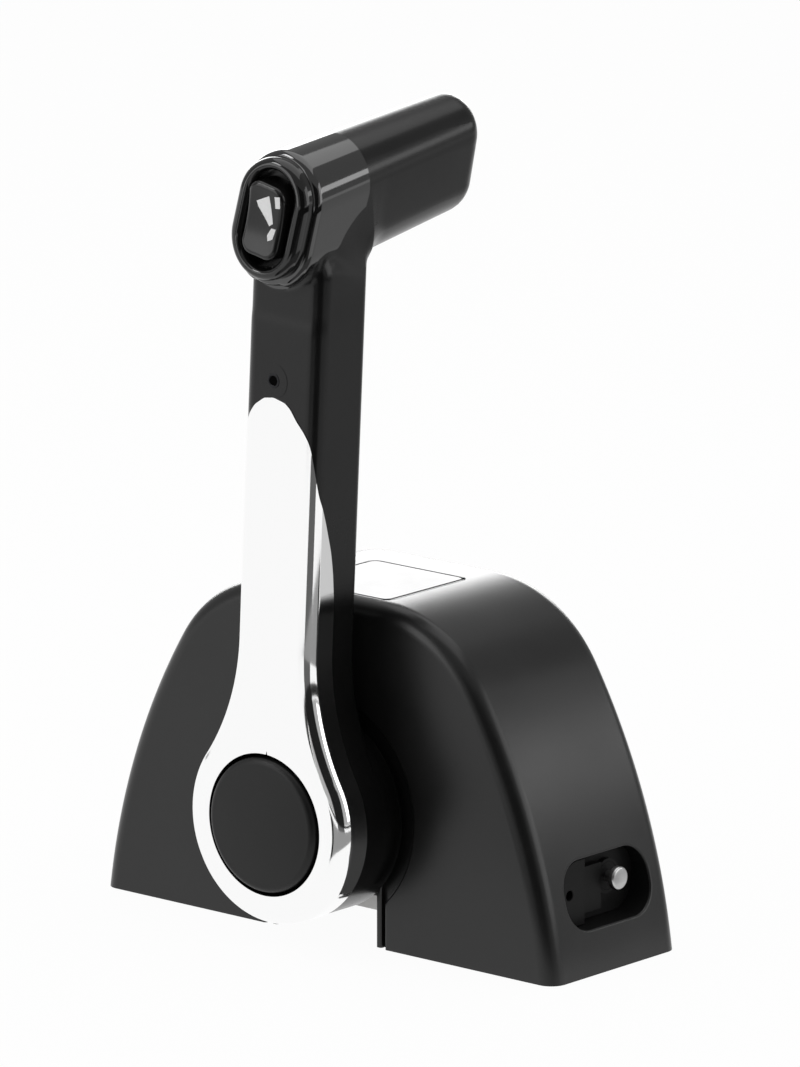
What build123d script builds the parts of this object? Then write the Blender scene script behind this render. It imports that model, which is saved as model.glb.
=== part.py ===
from build123d import *
from math import asin, cos, degrees, pi, radians, sin, tan
import os

# Single-lever engine control for mounting on top of a console, in millimetres.
# +X starboard, +Y forward, +Z up. The origin is the middle of the footprint on the deck.

os.makedirs("parts", exist_ok=True)

# Fits shared by all pieces
seat_gap = 0.2            # between a piece and the seat it rests in
press_gap = 0.02          # between a pressed-in piece and its bore
running_gap = 0.05        # radial, a turning pin or shaft in its bore
swing_gap = 0.6           # between the lever and what it swings past

# Dome cover
cover_width = 66.0
base_half_length = 100.5
cover_height = 119.0
cover_wall = 2.6
top_flat_half = 22.7
shoulder_radius = 51.6
shoulder_angle = 32.0     # slope from upright where the shoulder meets the side arc
cover_edge_radius = 6.0
half_width = cover_width / 2

# Lever axis and pose
hub_height = 45.0
lever_lean = 2.8          # aft lean of the lever in neutral, degrees

# Hub, arm and trim, measured outboard from the middle plane
hub_radius = 34.6
hub_back = half_width - 0.3
arm_half_width = 16.3
arm_back = 39.0
arm_front = 63.6
arm_neck_front = 60.4     # the arm's front above the shoulder, under the grip
arm_shoulder = 171.0
arm_length = 203.0
arm_top_radius = 13.0
neck_radius = 80.0
arm_edge_radius = 5.0
arm_back_radius = 3.0
trim_proud = 0.3
trim_wall = 1.4
trim_back = 51.5
trim_tip = 147.2

# Hub button
button_radius = 23.6
button_gap = 0.9
button_proud = 2.6
button_edge_radius = 1.6
well_radius = button_radius + button_gap
well_floor = 46.0
core_hub_front = well_floor - 1.2

# Grip
grip_height = 208.8       # hub axis to the grip's middle at its near end
grip_near_width = 32.8
grip_near_depth = 46.4
grip_far_width = 26.0
grip_far_depth = 40.6
grip_rise = 11.0
grip_tilt = 8.5           # the oval's own aft tilt, degrees
grip_end = 20.0           # starboard of the middle plane
grip_end_radius = 6.0
head_back = 41.0
head_front = 67.0
head_edge_radius = 2.4
bezel_front = 72.4
bezel_margin = 1.5        # the bezel inside the head's outline, each side
bezel_end_margin = 2.5    # and at its ends
bezel_edge_radius = 2.6
switch_height = grip_height + 1.2
rocker_width = 15.4
rocker_length = 25.5
rocker_proud = 4.1        # the rocker ahead of the bezel
rocker_gap = 1.6
rocker_end_gap = 3.8

grip_root_drop = 26.0      # length of the flare between arm and grip
grip_root_waist = 8.0      # how much narrower it is there
grip_root_reach = 9.0      # how far the flare runs out under the grip
arm_screw_x = -2.9
arm_screw_y = 153.0
arm_screw_radius = 1.5
screw_head_radius = 2.6
screw_head_depth = 2.4

# Shaft and bearings
shaft_radius = 8.0
bush_wall = 2.0
bush_length = 12.0
barrel_wall = 4.0
bush_radius = shaft_radius + running_gap + bush_wall
barrel_radius = bush_radius + press_gap + barrel_wall

# Friction brake down through the barrel onto the shaft
brake_x = -8.0
brake_radius = 2.6
brake_pad_length = 3.0
brake_screw_length = 8.0

# Opening in the near wall and the shroud behind it
opening_radius = 39.0
opening_half_width = 26.5
shroud_slot_half = 22.0
shroud_thickness = 2.0
shroud_rib = 2.4

# Cast frame
frame_thickness = 5.0
frame_margin = 1.2        # to the inside of the cover
side_plate_near = 9.0
side_plate_thickness = 4.0
side_plate_far = side_plate_near + side_plate_thickness
bolt_spacing_x = 40.0
bolt_end_margin = 16.5     # bolts to the ends of the cover
bolt_spacing_y = 2 * (base_half_length - bolt_end_margin)
bolt_hole_radius = 3.3

# Gears
gear_module = 2.0
drive_teeth = 16
driven_teeth = 26
gear_thickness = 6.0
gear_back = side_plate_far + 4.0
tooth_thinning = 0.35
drive_pitch_radius = gear_module * drive_teeth / 2
driven_pitch_radius = gear_module * driven_teeth / 2
gear_centres = drive_pitch_radius + driven_pitch_radius
stud_radius = 4.0
cable_arm_length = 27.0
cable_pin_radius = 2.5
cable_pin_reach = 3.4
cable_pin_head_radius = 4.1
cable_pin_head = 1.5

# Engine-stop switch in the aft end
pocket_width = 43.5
pocket_height = 23.0
pocket_radius = 10.0
pocket_x = 1.3
pocket_z = 26.5
pocket_step_depth = 8.5
pocket_floor_depth = 15.0
pocket_step = base_half_length - pocket_step_depth
pocket_floor = base_half_length - pocket_floor_depth
deep_pocket_width = 29.5
stop_x = 8.0
stop_z = 28.5
stop_head_radius = 4.0
stop_travel = 3.0
stop_thread_radius = 4.8

lever_side = Plane(
    origin=(0, 0, hub_height),
    x_dir=(0, -cos(radians(lever_lean)), -sin(radians(lever_lean))),
    z_dir=(-1, 0, 0),
)                          # x aft along the lever's breadth, y up the lever, z outboard
aft_side = Plane.XZ        # x starboard, y up, z aft


def save(part, name):
    part.label = name
    export_step(part, f"parts/{name}.step")


# ---------------------------------------------------------------- cover

def dome_solid(inset):
    """The dome pulled in all round by inset, down to the deck."""
    top = cover_height - inset
    with BuildPart() as dome:
        with BuildSketch(Plane.YZ):
            with BuildLine():
                crown = Line((0, top), (top_flat_half, top))
                shoulder = JernArc(crown @ 1, crown % 1, shoulder_radius - inset, shoulder_angle - 90)
                side = TangentArc(shoulder @ 1, (base_half_length - inset, 0), tangent=shoulder % 1)
                Line(side @ 1, (0, 0))
                mirror(about=Plane.YZ)
            make_face()
        extrude(amount=half_width - inset, both=True)
        rim = dome.faces().filter_by(Axis.X).edges().filter_by(lambda edge: edge.center().Z > inset)
        fillet(rim, cover_edge_radius - inset)
    return dome.part


def opening_outline(radius, half_slot):
    """Keyhole round the hub: a circle, and a straight slot from it down to the deck."""
    with BuildSketch() as keyhole:
        Circle(radius)
        with Locations((0, -hub_height)):
            Rectangle(2 * half_slot, hub_height, align=(Align.CENTER, Align.MIN))
    return keyhole.sketch


upright_side = Plane(origin=(0, 0, hub_height), x_dir=(0, -1, 0), z_dir=(-1, 0, 0))
plate_size = 41.0
plate_place = (-6.3, -2.0)
plate_thickness = 2.4
plate_corner = 3.0
cover_screw_x = -10.0
cover_screw_y = base_half_length - 20.5
cover_boss_radius = 4.6
cover_pilot_radius = 1.9
cover_screw_length = 16.0
cover_screw_sunk = 0.4
cover_screw_head = 2.4
cover_screw_head_radius = 4.2
step_hole_x = -14.5
step_hole_radius = 1.7

with BuildPart() as cover_cavity:
    add(dome_solid(cover_wall))
    with BuildSketch(Plane.XY.offset(cover_height - plate_thickness - cover_wall)):
        with Locations(plate_place):
            RectangleRounded(plate_size + 2 * cover_wall, plate_size + 2 * cover_wall, plate_corner)
    extrude(amount=plate_thickness, mode=Mode.SUBTRACT)
    with BuildSketch(aft_side.offset(pocket_floor - cover_wall)):
        with Locations((pocket_x, pocket_z)):
            RectangleRounded(pocket_width + 2 * cover_wall, pocket_height + 2 * cover_wall,
                             pocket_radius + cover_wall)
    extrude(amount=base_half_length - pocket_floor, mode=Mode.SUBTRACT)
    with BuildSketch(Plane.XY.offset(frame_thickness + seat_gap)):
        with Locations((cover_screw_x, cover_screw_y), (cover_screw_x, -cover_screw_y)):
            Circle(cover_boss_radius)
    extrude(amount=cover_height, mode=Mode.SUBTRACT)

with BuildPart() as cover_shell:
    add(dome_solid(0))
    add(cover_cavity.part, mode=Mode.SUBTRACT)
    with BuildSketch(upright_side.offset(half_width - 2 * cover_wall)):
        add(opening_outline(opening_radius, opening_half_width))
    extrude(amount=3 * cover_wall, mode=Mode.SUBTRACT)
    with BuildSketch(Plane.XY.offset(cover_height - plate_thickness)):
        with Locations(plate_place):
            RectangleRounded(plate_size, plate_size, plate_corner)
    extrude(amount=plate_thickness + 1, mode=Mode.SUBTRACT)
    with BuildSketch(aft_side.offset(pocket_step)):
        with Locations((pocket_x, pocket_z)):
            RectangleRounded(pocket_width, pocket_height, pocket_radius)
    extrude(amount=base_half_length - pocket_step, mode=Mode.SUBTRACT)
    with BuildSketch(aft_side.offset(pocket_floor)):
        with Locations((pocket_x, pocket_z)):
            RectangleRounded(pocket_width, pocket_height, pocket_radius)
        with Locations((pocket_x + pocket_width / 2 - deep_pocket_width, pocket_z)):
            Rectangle(pocket_width, pocket_height, align=(Align.MAX, Align.CENTER), mode=Mode.SUBTRACT)
    extrude(amount=pocket_step - pocket_floor, mode=Mode.SUBTRACT)
    with BuildSketch(aft_side.offset(pocket_floor - cover_wall)):
        with Locations((step_hole_x, pocket_z)):
            Circle(step_hole_radius)
        with Locations((stop_x, stop_z)):
            Circle(stop_thread_radius + seat_gap)
    extrude(amount=base_half_length - pocket_floor, mode=Mode.SUBTRACT)
    with BuildSketch(Plane.XY):
        with Locations((cover_screw_x, cover_screw_y), (cover_screw_x, -cover_screw_y)):
            Circle(cover_pilot_radius)
    extrude(amount=frame_thickness + cover_screw_length, mode=Mode.SUBTRACT)
save(cover_shell.part, "cover_shell")

with BuildPart() as top_plate:
    with BuildSketch(Plane.XY.offset(cover_height - plate_thickness + seat_gap / 2)):
        with Locations(plate_place):
            RectangleRounded(plate_size - 2 * seat_gap, plate_size - 2 * seat_gap, plate_corner - seat_gap)
    extrude(amount=plate_thickness)
    chamfer(top_plate.faces().sort_by(Axis.Z)[-1].edges(), 0.4)
save(top_plate.part, "top_plate")

# ---------------------------------------------------------------- frame and bearings

cavity_half = half_width - cover_wall
plate_half_width = cavity_half - frame_margin
plate_half_length = base_half_length - cover_wall - frame_margin - 1.0
base_corner = 5.0
window_half = opening_half_width + 4.0
plate_window_x = 4.0
side_plate_half = 58.0
side_plate_height = hub_height + 24.0
side_plate_shoulder = hub_height + 6.0
side_plate_crown = 24.0
gusset_place = 44.0
gusset_foot = 22.0
cable_slot_near = 54.0
cable_slot_far = 74.0
cable_slot_width = 9.0
barrel_back = side_plate_far
barrel_front = half_width - 1.2

with BuildPart() as main_frame:
    with BuildSketch(Plane.XY):
        RectangleRounded(2 * plate_half_width, 2 * plate_half_length, base_corner)
        with Locations((-plate_half_width, 0)):
            Rectangle(plate_half_width + plate_window_x, 2 * window_half,
                      align=(Align.MIN, Align.CENTER), mode=Mode.SUBTRACT)
        with Locations((gear_back + gear_thickness / 2, (cable_slot_near + cable_slot_far) / 2),
                       (gear_back + gear_thickness / 2, -(cable_slot_near + cable_slot_far) / 2)):
            SlotOverall(cable_slot_far - cable_slot_near, cable_slot_width, rotation=90, mode=Mode.SUBTRACT)
    extrude(amount=frame_thickness)
    with BuildSketch(Plane.YZ.offset(side_plate_near)):
        with BuildLine():
            Polyline((0, frame_thickness), (side_plate_half, frame_thickness),
                     (side_plate_half, side_plate_shoulder), (side_plate_crown, side_plate_height),
                     (0, side_plate_height))
            mirror(about=Plane.YZ)
        make_face()
    extrude(amount=side_plate_thickness)
    with BuildSketch(upright_side.offset(-barrel_back)):
        Circle(barrel_radius)
    extrude(amount=barrel_front + barrel_back)
    for gusset_y in (-gusset_place, gusset_place - side_plate_thickness):
        with BuildSketch(Plane.XZ.offset(-gusset_y)):
            with BuildLine():
                Polyline((side_plate_near, frame_thickness), (side_plate_near, hub_height),
                         (side_plate_near - gusset_foot, frame_thickness), close=True)
            make_face()
        extrude(amount=-side_plate_thickness)
    with GridLocations(bolt_spacing_x, bolt_spacing_y, 2, 2):
        Hole(bolt_hole_radius, depth=2 * frame_thickness)
    with BuildSketch(upright_side.offset(-barrel_back)):
        Circle(bush_radius + press_gap)
    extrude(amount=barrel_front + barrel_back, mode=Mode.SUBTRACT)
    with BuildSketch(upright_side.offset(-side_plate_far)):
        with Locations((gear_centres, 0), (-gear_centres, 0)):
            Circle(stud_radius)
    extrude(amount=side_plate_thickness, mode=Mode.SUBTRACT)
    with BuildSketch(Plane.XY.offset(hub_height + shaft_radius)):
        with Locations((brake_x, 0)):
            Circle(brake_radius)
    extrude(amount=barrel_radius, mode=Mode.SUBTRACT)
    with Locations((cover_screw_x, cover_screw_y, 0), (cover_screw_x, -cover_screw_y, 0)):
        Cylinder(cover_pilot_radius + 2 * seat_gap, 2 * frame_thickness, mode=Mode.SUBTRACT)
        Cylinder(cover_screw_head_radius + 2 * seat_gap, 2 * (cover_screw_sunk + cover_screw_head + seat_gap),
                 mode=Mode.SUBTRACT)
save(main_frame.part, "main_frame")

with BuildPart() as port_bush:
    with BuildSketch(upright_side.offset(barrel_front - bush_length)):
        Circle(bush_radius)
        Circle(shaft_radius + running_gap, mode=Mode.SUBTRACT)
    extrude(amount=bush_length)
save(port_bush.part, "port_bush")

with BuildPart() as starboard_bush:
    with BuildSketch(upright_side.offset(-barrel_back)):
        Circle(bush_radius)
        Circle(shaft_radius + running_gap, mode=Mode.SUBTRACT)
    extrude(amount=bush_length)
save(starboard_bush.part, "starboard_bush")

# ---------------------------------------------------------------- shroud behind the opening

shroud_back = cavity_half - seat_gap - shroud_thickness

with BuildPart() as shaft_shroud:
    with BuildSketch(upright_side.offset(shroud_back)):
        add(opening_outline(opening_radius + 4, opening_half_width + 3.5))
        add(opening_outline(shroud_slot_half, shroud_slot_half), mode=Mode.SUBTRACT)
    extrude(amount=shroud_thickness)
    with BuildSketch(upright_side.offset(shroud_back)):
        add(opening_outline(shroud_slot_half + shroud_rib, shroud_slot_half + shroud_rib))
        add(opening_outline(shroud_slot_half, shroud_slot_half), mode=Mode.SUBTRACT)
    extrude(amount=hub_back - swing_gap - shroud_back)
    fillet(shaft_shroud.faces().sort_by(Axis.X)[0].edges().filter_by(GeomType.CIRCLE), 0.8)
save(shaft_shroud.part, "shaft_shroud")

# ---------------------------------------------------------------- gears, shaft and cable arms

def gear_outline(teeth, first_tooth, kept):
    """Straight-flanked spur teeth; teeth whose angle is further than kept from +x are left off."""
    pitch_radius = gear_module * teeth / 2
    root_radius = pitch_radius - 1.25 * gear_module
    tip_radius = pitch_radius + 0.85 * gear_module
    pitch_half = gear_module * pi / 4 - tooth_thinning
    root_half = pitch_half + tan(radians(20)) * 1.25 * gear_module
    tip_half = pitch_half - tan(radians(20)) * 0.85 * gear_module
    angles = [first_tooth + 360 / teeth * k for k in range(teeth)]
    with BuildSketch() as outline:
        Circle(root_radius)
        for angle in angles:
            if abs((angle + 180) % 360 - 180) <= kept:
                with BuildLine(Plane.XY.rotated((0, 0, angle))):
                    Polyline((root_radius - 1, root_half), (root_radius, root_half), (tip_radius, tip_half),
                             (tip_radius, -tip_half), (root_radius, -root_half),
                             (root_radius - 1, -root_half), close=True)
                make_face()
    return outline.sketch


shaft_end = gear_back + gear_thickness + 3.4
clip_width = 1.2
clip_start = gear_back + gear_thickness + 0.3
shaft_bolt_radius = 4.0
shaft_bolt_length = 18.0
key_width = 4.0
shaft_front = core_hub_front - 0.4

with BuildPart() as main_shaft:
    with BuildSketch(upright_side.offset(-shaft_end)):
        Circle(shaft_radius)
    extrude(amount=shaft_end + shaft_front)
    with BuildSketch(upright_side.offset(shaft_front - shaft_bolt_length)):
        Circle(shaft_bolt_radius + seat_gap / 4)
    extrude(amount=shaft_bolt_length, mode=Mode.SUBTRACT)
    with BuildSketch(upright_side.offset(-clip_start - clip_width - 0.1)):
        Circle(shaft_radius + 1)
        Circle(shaft_radius - 1, mode=Mode.SUBTRACT)
    extrude(amount=clip_width + 0.1, mode=Mode.SUBTRACT)
    chamfer(main_shaft.faces().sort_by(Axis.X)[-1].edges(), 0.6)
save(main_shaft.part, "main_shaft")

with BuildPart() as drive_gear:
    with BuildSketch(upright_side.offset(-gear_back - gear_thickness)):
        add(gear_outline(drive_teeth, 0, 180))
        Circle(shaft_radius + press_gap, mode=Mode.SUBTRACT)
    extrude(amount=gear_thickness)
save(drive_gear.part, "drive_gear")

with BuildPart() as shaft_clip:
    with BuildSketch(upright_side.offset(-clip_start - clip_width)):
        Circle(shaft_radius + 2.4)
        Circle(shaft_radius - 0.9, mode=Mode.SUBTRACT)
        with Locations((0, shaft_radius)):
            Rectangle(shaft_radius, shaft_radius, mode=Mode.SUBTRACT)
    extrude(amount=clip_width)
save(shaft_clip.part, "shaft_clip")

driven_arc = 75.0
stud_end = clip_start + clip_width + 1.4


def driven_gear(side):
    """Sector gear with its cable arm; side is +1 for the aft (shift) gear and -1 for the fore one."""
    with BuildPart() as gear:
        with BuildSketch(upright_side.offset(-gear_back - gear_thickness)):
            with Locations(Location((side * gear_centres, 0), 90 + side * 90)):
                add(gear_outline(driven_teeth, 180 / driven_teeth, driven_arc))
            with BuildLine():
                Polyline((side * gear_centres, driven_pitch_radius + 4),
                         (side * (gear_centres + driven_pitch_radius + 4), driven_pitch_radius + 4),
                         (side * (gear_centres + driven_pitch_radius + 4), -driven_pitch_radius - 4),
                         (side * gear_centres, -driven_pitch_radius - 4), close=True)
            make_face(mode=Mode.SUBTRACT)
            with Locations((side * gear_centres, 0)):
                Circle(stud_radius + 5)
            with Locations(Location((side * (gear_centres + cable_arm_length / 2), 0), 0)):
                SlotCenterToCenter(cable_arm_length, 2 * cable_pin_radius + 7)
            with Locations((side * gear_centres, 0)):
                Circle(stud_radius + running_gap, mode=Mode.SUBTRACT)
            with Locations((side * (gear_centres + cable_arm_length), 0)):
                Circle(cable_pin_radius + press_gap, mode=Mode.SUBTRACT)
        extrude(amount=gear_thickness)
    return gear.part


def cable_pin(side):
    """Headed pivot pin pressed into the end of a cable arm."""
    with BuildPart() as pin:
        with BuildSketch(upright_side.offset(-gear_back)):
            with Locations((side * (gear_centres + cable_arm_length), 0)):
                Circle(cable_pin_radius)
        extrude(amount=-gear_thickness - cable_pin_reach)
        with BuildSketch(upright_side.offset(-gear_back - gear_thickness - cable_pin_reach)):
            with Locations((side * (gear_centres + cable_arm_length), 0)):
                Circle(cable_pin_head_radius)
        extrude(amount=-cable_pin_head)
    return pin.part


save(driven_gear(1), "shift_gear")
save(driven_gear(-1), "throttle_gear")
save(cable_pin(1), "shift_cable_pin")
save(cable_pin(-1), "throttle_cable_pin")

with BuildPart() as gear_studs:
    for side in (1, -1):
        with BuildSketch(upright_side.offset(-stud_end)):
            with Locations((side * gear_centres, 0)):
                Circle(stud_radius)
        extrude(amount=stud_end - side_plate_near)
        with BuildSketch(upright_side.offset(-gear_back + 0.2)):
            with Locations((side * gear_centres, 0)):
                Circle(stud_radius + 2.5)
        extrude(amount=gear_back - 0.2 - side_plate_far)
        with BuildSketch(upright_side.offset(-clip_start - clip_width - 0.1)):
            with Locations((side * gear_centres, 0)):
                Circle(stud_radius + 1)
                Circle(stud_radius - 0.8, mode=Mode.SUBTRACT)
        extrude(amount=clip_width + 0.1, mode=Mode.SUBTRACT)
save(gear_studs.part, "gear_studs")

with BuildPart() as stud_clips:
    for side in (1, -1):
        with BuildSketch(upright_side.offset(-clip_start - clip_width)):
            with Locations((side * gear_centres, 0)):
                Circle(stud_radius + 2)
                Circle(stud_radius - 0.7, mode=Mode.SUBTRACT)
            with Locations((side * gear_centres, stud_radius)):
                Rectangle(stud_radius, stud_radius, mode=Mode.SUBTRACT)
        extrude(amount=clip_width)
save(stud_clips.part, "stud_clips")

# ---------------------------------------------------------------- lever

def lever_blade(grow, back, front):
    """Hub disc, concave neck and straight arm as one blade, its edges rounded."""
    half_arm = arm_half_width + grow
    with BuildPart() as blade:
        with BuildSketch(lever_side.offset(back)) as outline:
            Circle(hub_radius + grow)
            Rectangle(2 * half_arm, arm_length, align=(Align.CENTER, Align.MIN))
            necks = outline.vertices().filter_by(lambda corner: 0 < corner.Y < hub_radius)
            fillet(necks, neck_radius)
            fillet(outline.vertices().group_by(Axis.Y)[-1], arm_top_radius)
        extrude(amount=front - back)
        fillet(blade.faces().filter_by(Axis.X).sort_by(Axis.X)[0].edges(), arm_edge_radius + min(grow, 0))
        fillet(blade.faces().filter_by(Axis.X).sort_by(Axis.X)[-1].edges(), arm_back_radius)
    return blade.part


def trim_region(gap):
    """Space of the bright trim: below its arched tip and in front of its sweeping side edge."""
    span = 2 * hub_radius
    side = arm_half_width + 1
    top = trim_tip + gap
    edge = gap / 2
    back = trim_back - gap
    front = arm_front - gap
    with BuildPart() as region:
        with BuildSketch(lever_side.offset(trim_back - 6 - gap)):
            with BuildLine():
                left = Line((-span, -span), (-span, top - 14))
                foot = Line(left @ 1, (-side, top - 14))
                arch = Spline(foot @ 1, (-13.4 - edge, top - 8), (-10.5 - edge, top - 3.6), (-6.6, top - 0.8),
                              (-2.5, top), (2.6, top - 1), (7.7, top - 6.2), (11.4 + edge, top - 9.6),
                              (14.2 + edge, top - 14.7), (15.1 + edge, top - 21.6), (16.2 + edge, top - 31),
                              (side + edge, top - 42))
                Polyline(arch @ 1, (span, top - 42), (span, -span), (-span, -span))
            make_face()
        extrude(amount=arm_front + 2 - trim_back + 6 + gap)
        with BuildSketch(Plane(origin=lever_side.origin, x_dir=lever_side.z_dir, z_dir=-lever_side.x_dir)):
            with BuildLine():
                sweep = Spline((front + 2, trim_tip + 14), (front - 0.6, trim_tip - 4), (front - 1.6, trim_tip - 17),
                               (front - 3.4, trim_tip - 31), (front - 6.5, trim_tip - 40.5),
                               (front - 9.7, trim_tip - 51), (back + 0.6, trim_tip - 61), (back, trim_tip - 72),
                               (back, trim_tip - 100))
                Polyline(sweep @ 1, (back, -span), (front + 2, -span), sweep @ 0)
            make_face()
        extrude(amount=span, both=True, mode=Mode.INTERSECT)
    return region.part


def upright_slot(width, depth):
    """Stadium standing on end, leaning with the grip's oval."""
    with BuildSketch() as slot:
        SlotOverall(depth, width, rotation=90 - grip_tilt)
    return slot.sketch


core_hub_radius = 15.0
core_hub_back = hub_back + 0.6
core_width = 14.0
core_knee = hub_radius - 1.6
core_knee_back = 38.0
core_back = 44.0
core_thickness = 5.5
core_reach = 53.0


def core_solid(gap):
    """Cast bar inside the lever, swelled by gap: hub boss, bar and the stub inside the grip."""
    with BuildPart() as core:
        with BuildSketch(lever_side.offset(core_hub_back - gap)):
            Circle(core_hub_radius + gap)
        extrude(amount=core_hub_front - core_hub_back + gap)
        with BuildSketch(lever_side.offset(core_knee_back - gap)):
            Rectangle(core_width + 2 * gap, core_knee + gap, align=(Align.CENTER, Align.MIN))
        extrude(amount=core_hub_front - core_knee_back + gap)
        with BuildSketch(lever_side.offset(core_knee_back - gap)):
            with Locations((0, well_radius + 1 - gap)):
                Rectangle(core_width + 2 * gap, core_knee - well_radius - 1 + 2 * gap,
                          align=(Align.CENTER, Align.MIN))
        extrude(amount=core_back + core_thickness - core_knee_back + 2 * gap)
        with BuildSketch(lever_side.offset(core_back - gap)):
            with Locations((0, well_radius + 1 - gap)):
                Rectangle(core_width + 2 * gap, grip_height - well_radius, align=(Align.CENTER, Align.MIN))
        extrude(amount=core_thickness + 2 * gap)
        with BuildSketch(lever_side.offset(core_back - core_reach - gap)):
            with Locations((0, grip_height)):
                Circle(core_width / 2 + gap)
        extrude(amount=core_thickness + core_reach + 2 * gap)
    return core.part


with BuildPart() as lever_core:
    add(core_solid(0))
    with BuildSketch(lever_side.offset(core_hub_back)):
        Circle(shaft_radius + press_gap)
    extrude(amount=well_floor - core_hub_back, mode=Mode.SUBTRACT)
    with BuildSketch(lever_side.offset(core_back)):
        with Locations((arm_screw_x, arm_screw_y)):
            Circle(arm_screw_radius - 0.2)
    extrude(amount=core_thickness, mode=Mode.SUBTRACT)
save(lever_core.part, "lever_core")

with BuildPart() as chrome_trim:
    add(lever_blade(trim_proud, trim_back - 6, arm_front + trim_proud))
    add(trim_region(0), mode=Mode.INTERSECT)
    add(lever_blade(trim_proud - trim_wall, trim_back - 8, arm_front + trim_proud - trim_wall),
        mode=Mode.SUBTRACT)
    with BuildSketch(lever_side.offset(well_floor)):
        Circle(well_radius)
    extrude(amount=arm_front - well_floor + 2, mode=Mode.SUBTRACT)
save(chrome_trim.part, "chrome_trim")

with BuildPart() as trim_space:
    add(trim_region(seat_gap))
    inner = trim_proud - trim_wall - seat_gap / 2
    add(lever_blade(inner, hub_back, arm_front + inner), mode=Mode.SUBTRACT)

with BuildPart() as grip_blank:
    with BuildSketch(lever_side.offset(head_front)):
        with Locations((0, grip_height)):
            add(upright_slot(grip_near_width, grip_near_depth))
    with BuildSketch(lever_side.offset(-grip_end)):
        with Locations((0, grip_height + grip_rise)):
            add(upright_slot(grip_far_width, grip_far_depth))
    loft()
    fillet(grip_blank.faces().sort_by(Axis.X)[-1].edges(), grip_end_radius)
    fillet(grip_blank.faces().sort_by(Axis.X)[0].edges(), head_edge_radius)

lever_edge_on = Plane(origin=lever_side.origin, x_dir=lever_side.z_dir, z_dir=-lever_side.x_dir)


def head_region(gap):
    """Near end of the grip: ahead of a seam that curves forward towards the underside."""
    with BuildPart() as region:
        with BuildSketch(lever_edge_on):
            with BuildLine():
                upper = Line((head_back - gap, grip_height + 40), (head_back - gap, grip_height + 4))
                seam = Spline(upper @ 1, (head_back + 4 - gap, grip_height - 13),
                              (head_back + 16, grip_height - 20 - gap),
                              (head_front + 8, grip_height - 22.2 - gap), tangents=[(0, -1), (1, 0)])
                Polyline(seam @ 1, (head_front + 8, grip_height + 40), upper @ 0)
            make_face()
        extrude(amount=grip_near_width, both=True)
    return region.part


switch_wall = 2.0
well_width = rocker_width + 2 * rocker_gap
well_length = rocker_length + 2 * rocker_end_gap
switch_back = core_back + core_thickness + 0.4
switch_front = 57.5
rocker_axis = 61.5
rocker_pin_radius = 1.5
rocker_lug = 5.0
rocker_back = 64.0
rocker_front = bezel_front + rocker_proud

with BuildPart() as grip_head:
    add(grip_blank.part)
    add(head_region(0), mode=Mode.INTERSECT)
    with BuildSketch(lever_side.offset(switch_back - 0.1)):
        with Locations((0, switch_height)):
            add(upright_slot(well_width + 2 * switch_wall + 2 * seat_gap,
                             well_length + 2 * switch_wall + 2 * seat_gap))
    extrude(amount=head_front, mode=Mode.SUBTRACT)
    add(core_solid(seat_gap), mode=Mode.SUBTRACT)
save(grip_head.part, "grip_head")

with BuildPart() as switch_bezel:
    with BuildSketch(lever_side.offset(head_front)):
        with Locations((0, switch_height)):
            add(upright_slot(grip_near_width - 2 * bezel_margin, grip_near_depth - 2 * bezel_end_margin))
    extrude(amount=bezel_front - head_front)
    fillet(switch_bezel.faces().sort_by(Axis.X)[0].edges(), bezel_edge_radius)
    with BuildSketch(lever_side.offset(switch_back)):
        with Locations((0, switch_height)):
            add(upright_slot(well_width + 2 * switch_wall, well_length + 2 * switch_wall))
    extrude(amount=head_front - switch_back)
    with BuildSketch(lever_side.offset(switch_back)):
        with Locations((0, switch_height)):
            add(upright_slot(well_width, well_length))
    extrude(amount=bezel_front, mode=Mode.SUBTRACT)
    with BuildSketch(lever_edge_on):
        with Locations((rocker_axis, switch_height)):
            Circle(rocker_pin_radius + press_gap)
    extrude(amount=grip_near_width, both=True, mode=Mode.SUBTRACT)
save(switch_bezel.part, "switch_bezel")

with BuildPart() as trim_switch:
    with BuildSketch(lever_side.offset(switch_back)):
        with Locations((0, switch_height)):
            add(upright_slot(well_width - 2 * seat_gap, well_length - 2 * seat_gap))
    extrude(amount=switch_front - switch_back)
save(trim_switch.part, "trim_switch")

with BuildPart() as trim_rocker:
    with BuildSketch(lever_side.offset(rocker_back)):
        with Locations(Location((0, switch_height), -grip_tilt)):
            RectangleRounded(rocker_width, rocker_length, 5.2)
    extrude(amount=rocker_front - rocker_back)
    fillet(trim_rocker.faces().sort_by(Axis.X)[0].edges(), 1.6)
    with BuildSketch(lever_side.offset(rocker_axis - 2.5)):
        with Locations(Location((0, switch_height), -grip_tilt)):
            Rectangle(rocker_width, 2 * rocker_lug)
    extrude(amount=rocker_back + 1 - rocker_axis + 2.5)
    with BuildSketch(lever_edge_on):
        with Locations((rocker_axis, switch_height)):
            Circle(rocker_pin_radius + running_gap)
    extrude(amount=grip_near_width, both=True, mode=Mode.SUBTRACT)
save(trim_rocker.part, "trim_rocker")

with BuildPart() as rocker_pin:
    with BuildSketch(lever_edge_on):
        with Locations((rocker_axis, switch_height)):
            Circle(rocker_pin_radius)
    extrude(amount=well_width / 2 + switch_wall - 0.2, both=True)
save(rocker_pin.part, "rocker_pin")

grip_root_plane = Plane(
    origin=(lever_side.offset(0).from_local_coords(Vector(0, grip_height - grip_near_depth / 2 + 14, 0))),
    x_dir=lever_side.z_dir, z_dir=lever_side.y_dir,
)

with BuildPart() as head_space:
    add(head_region(seat_gap / 4))
    add(grip_blank.part, mode=Mode.INTERSECT)

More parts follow.
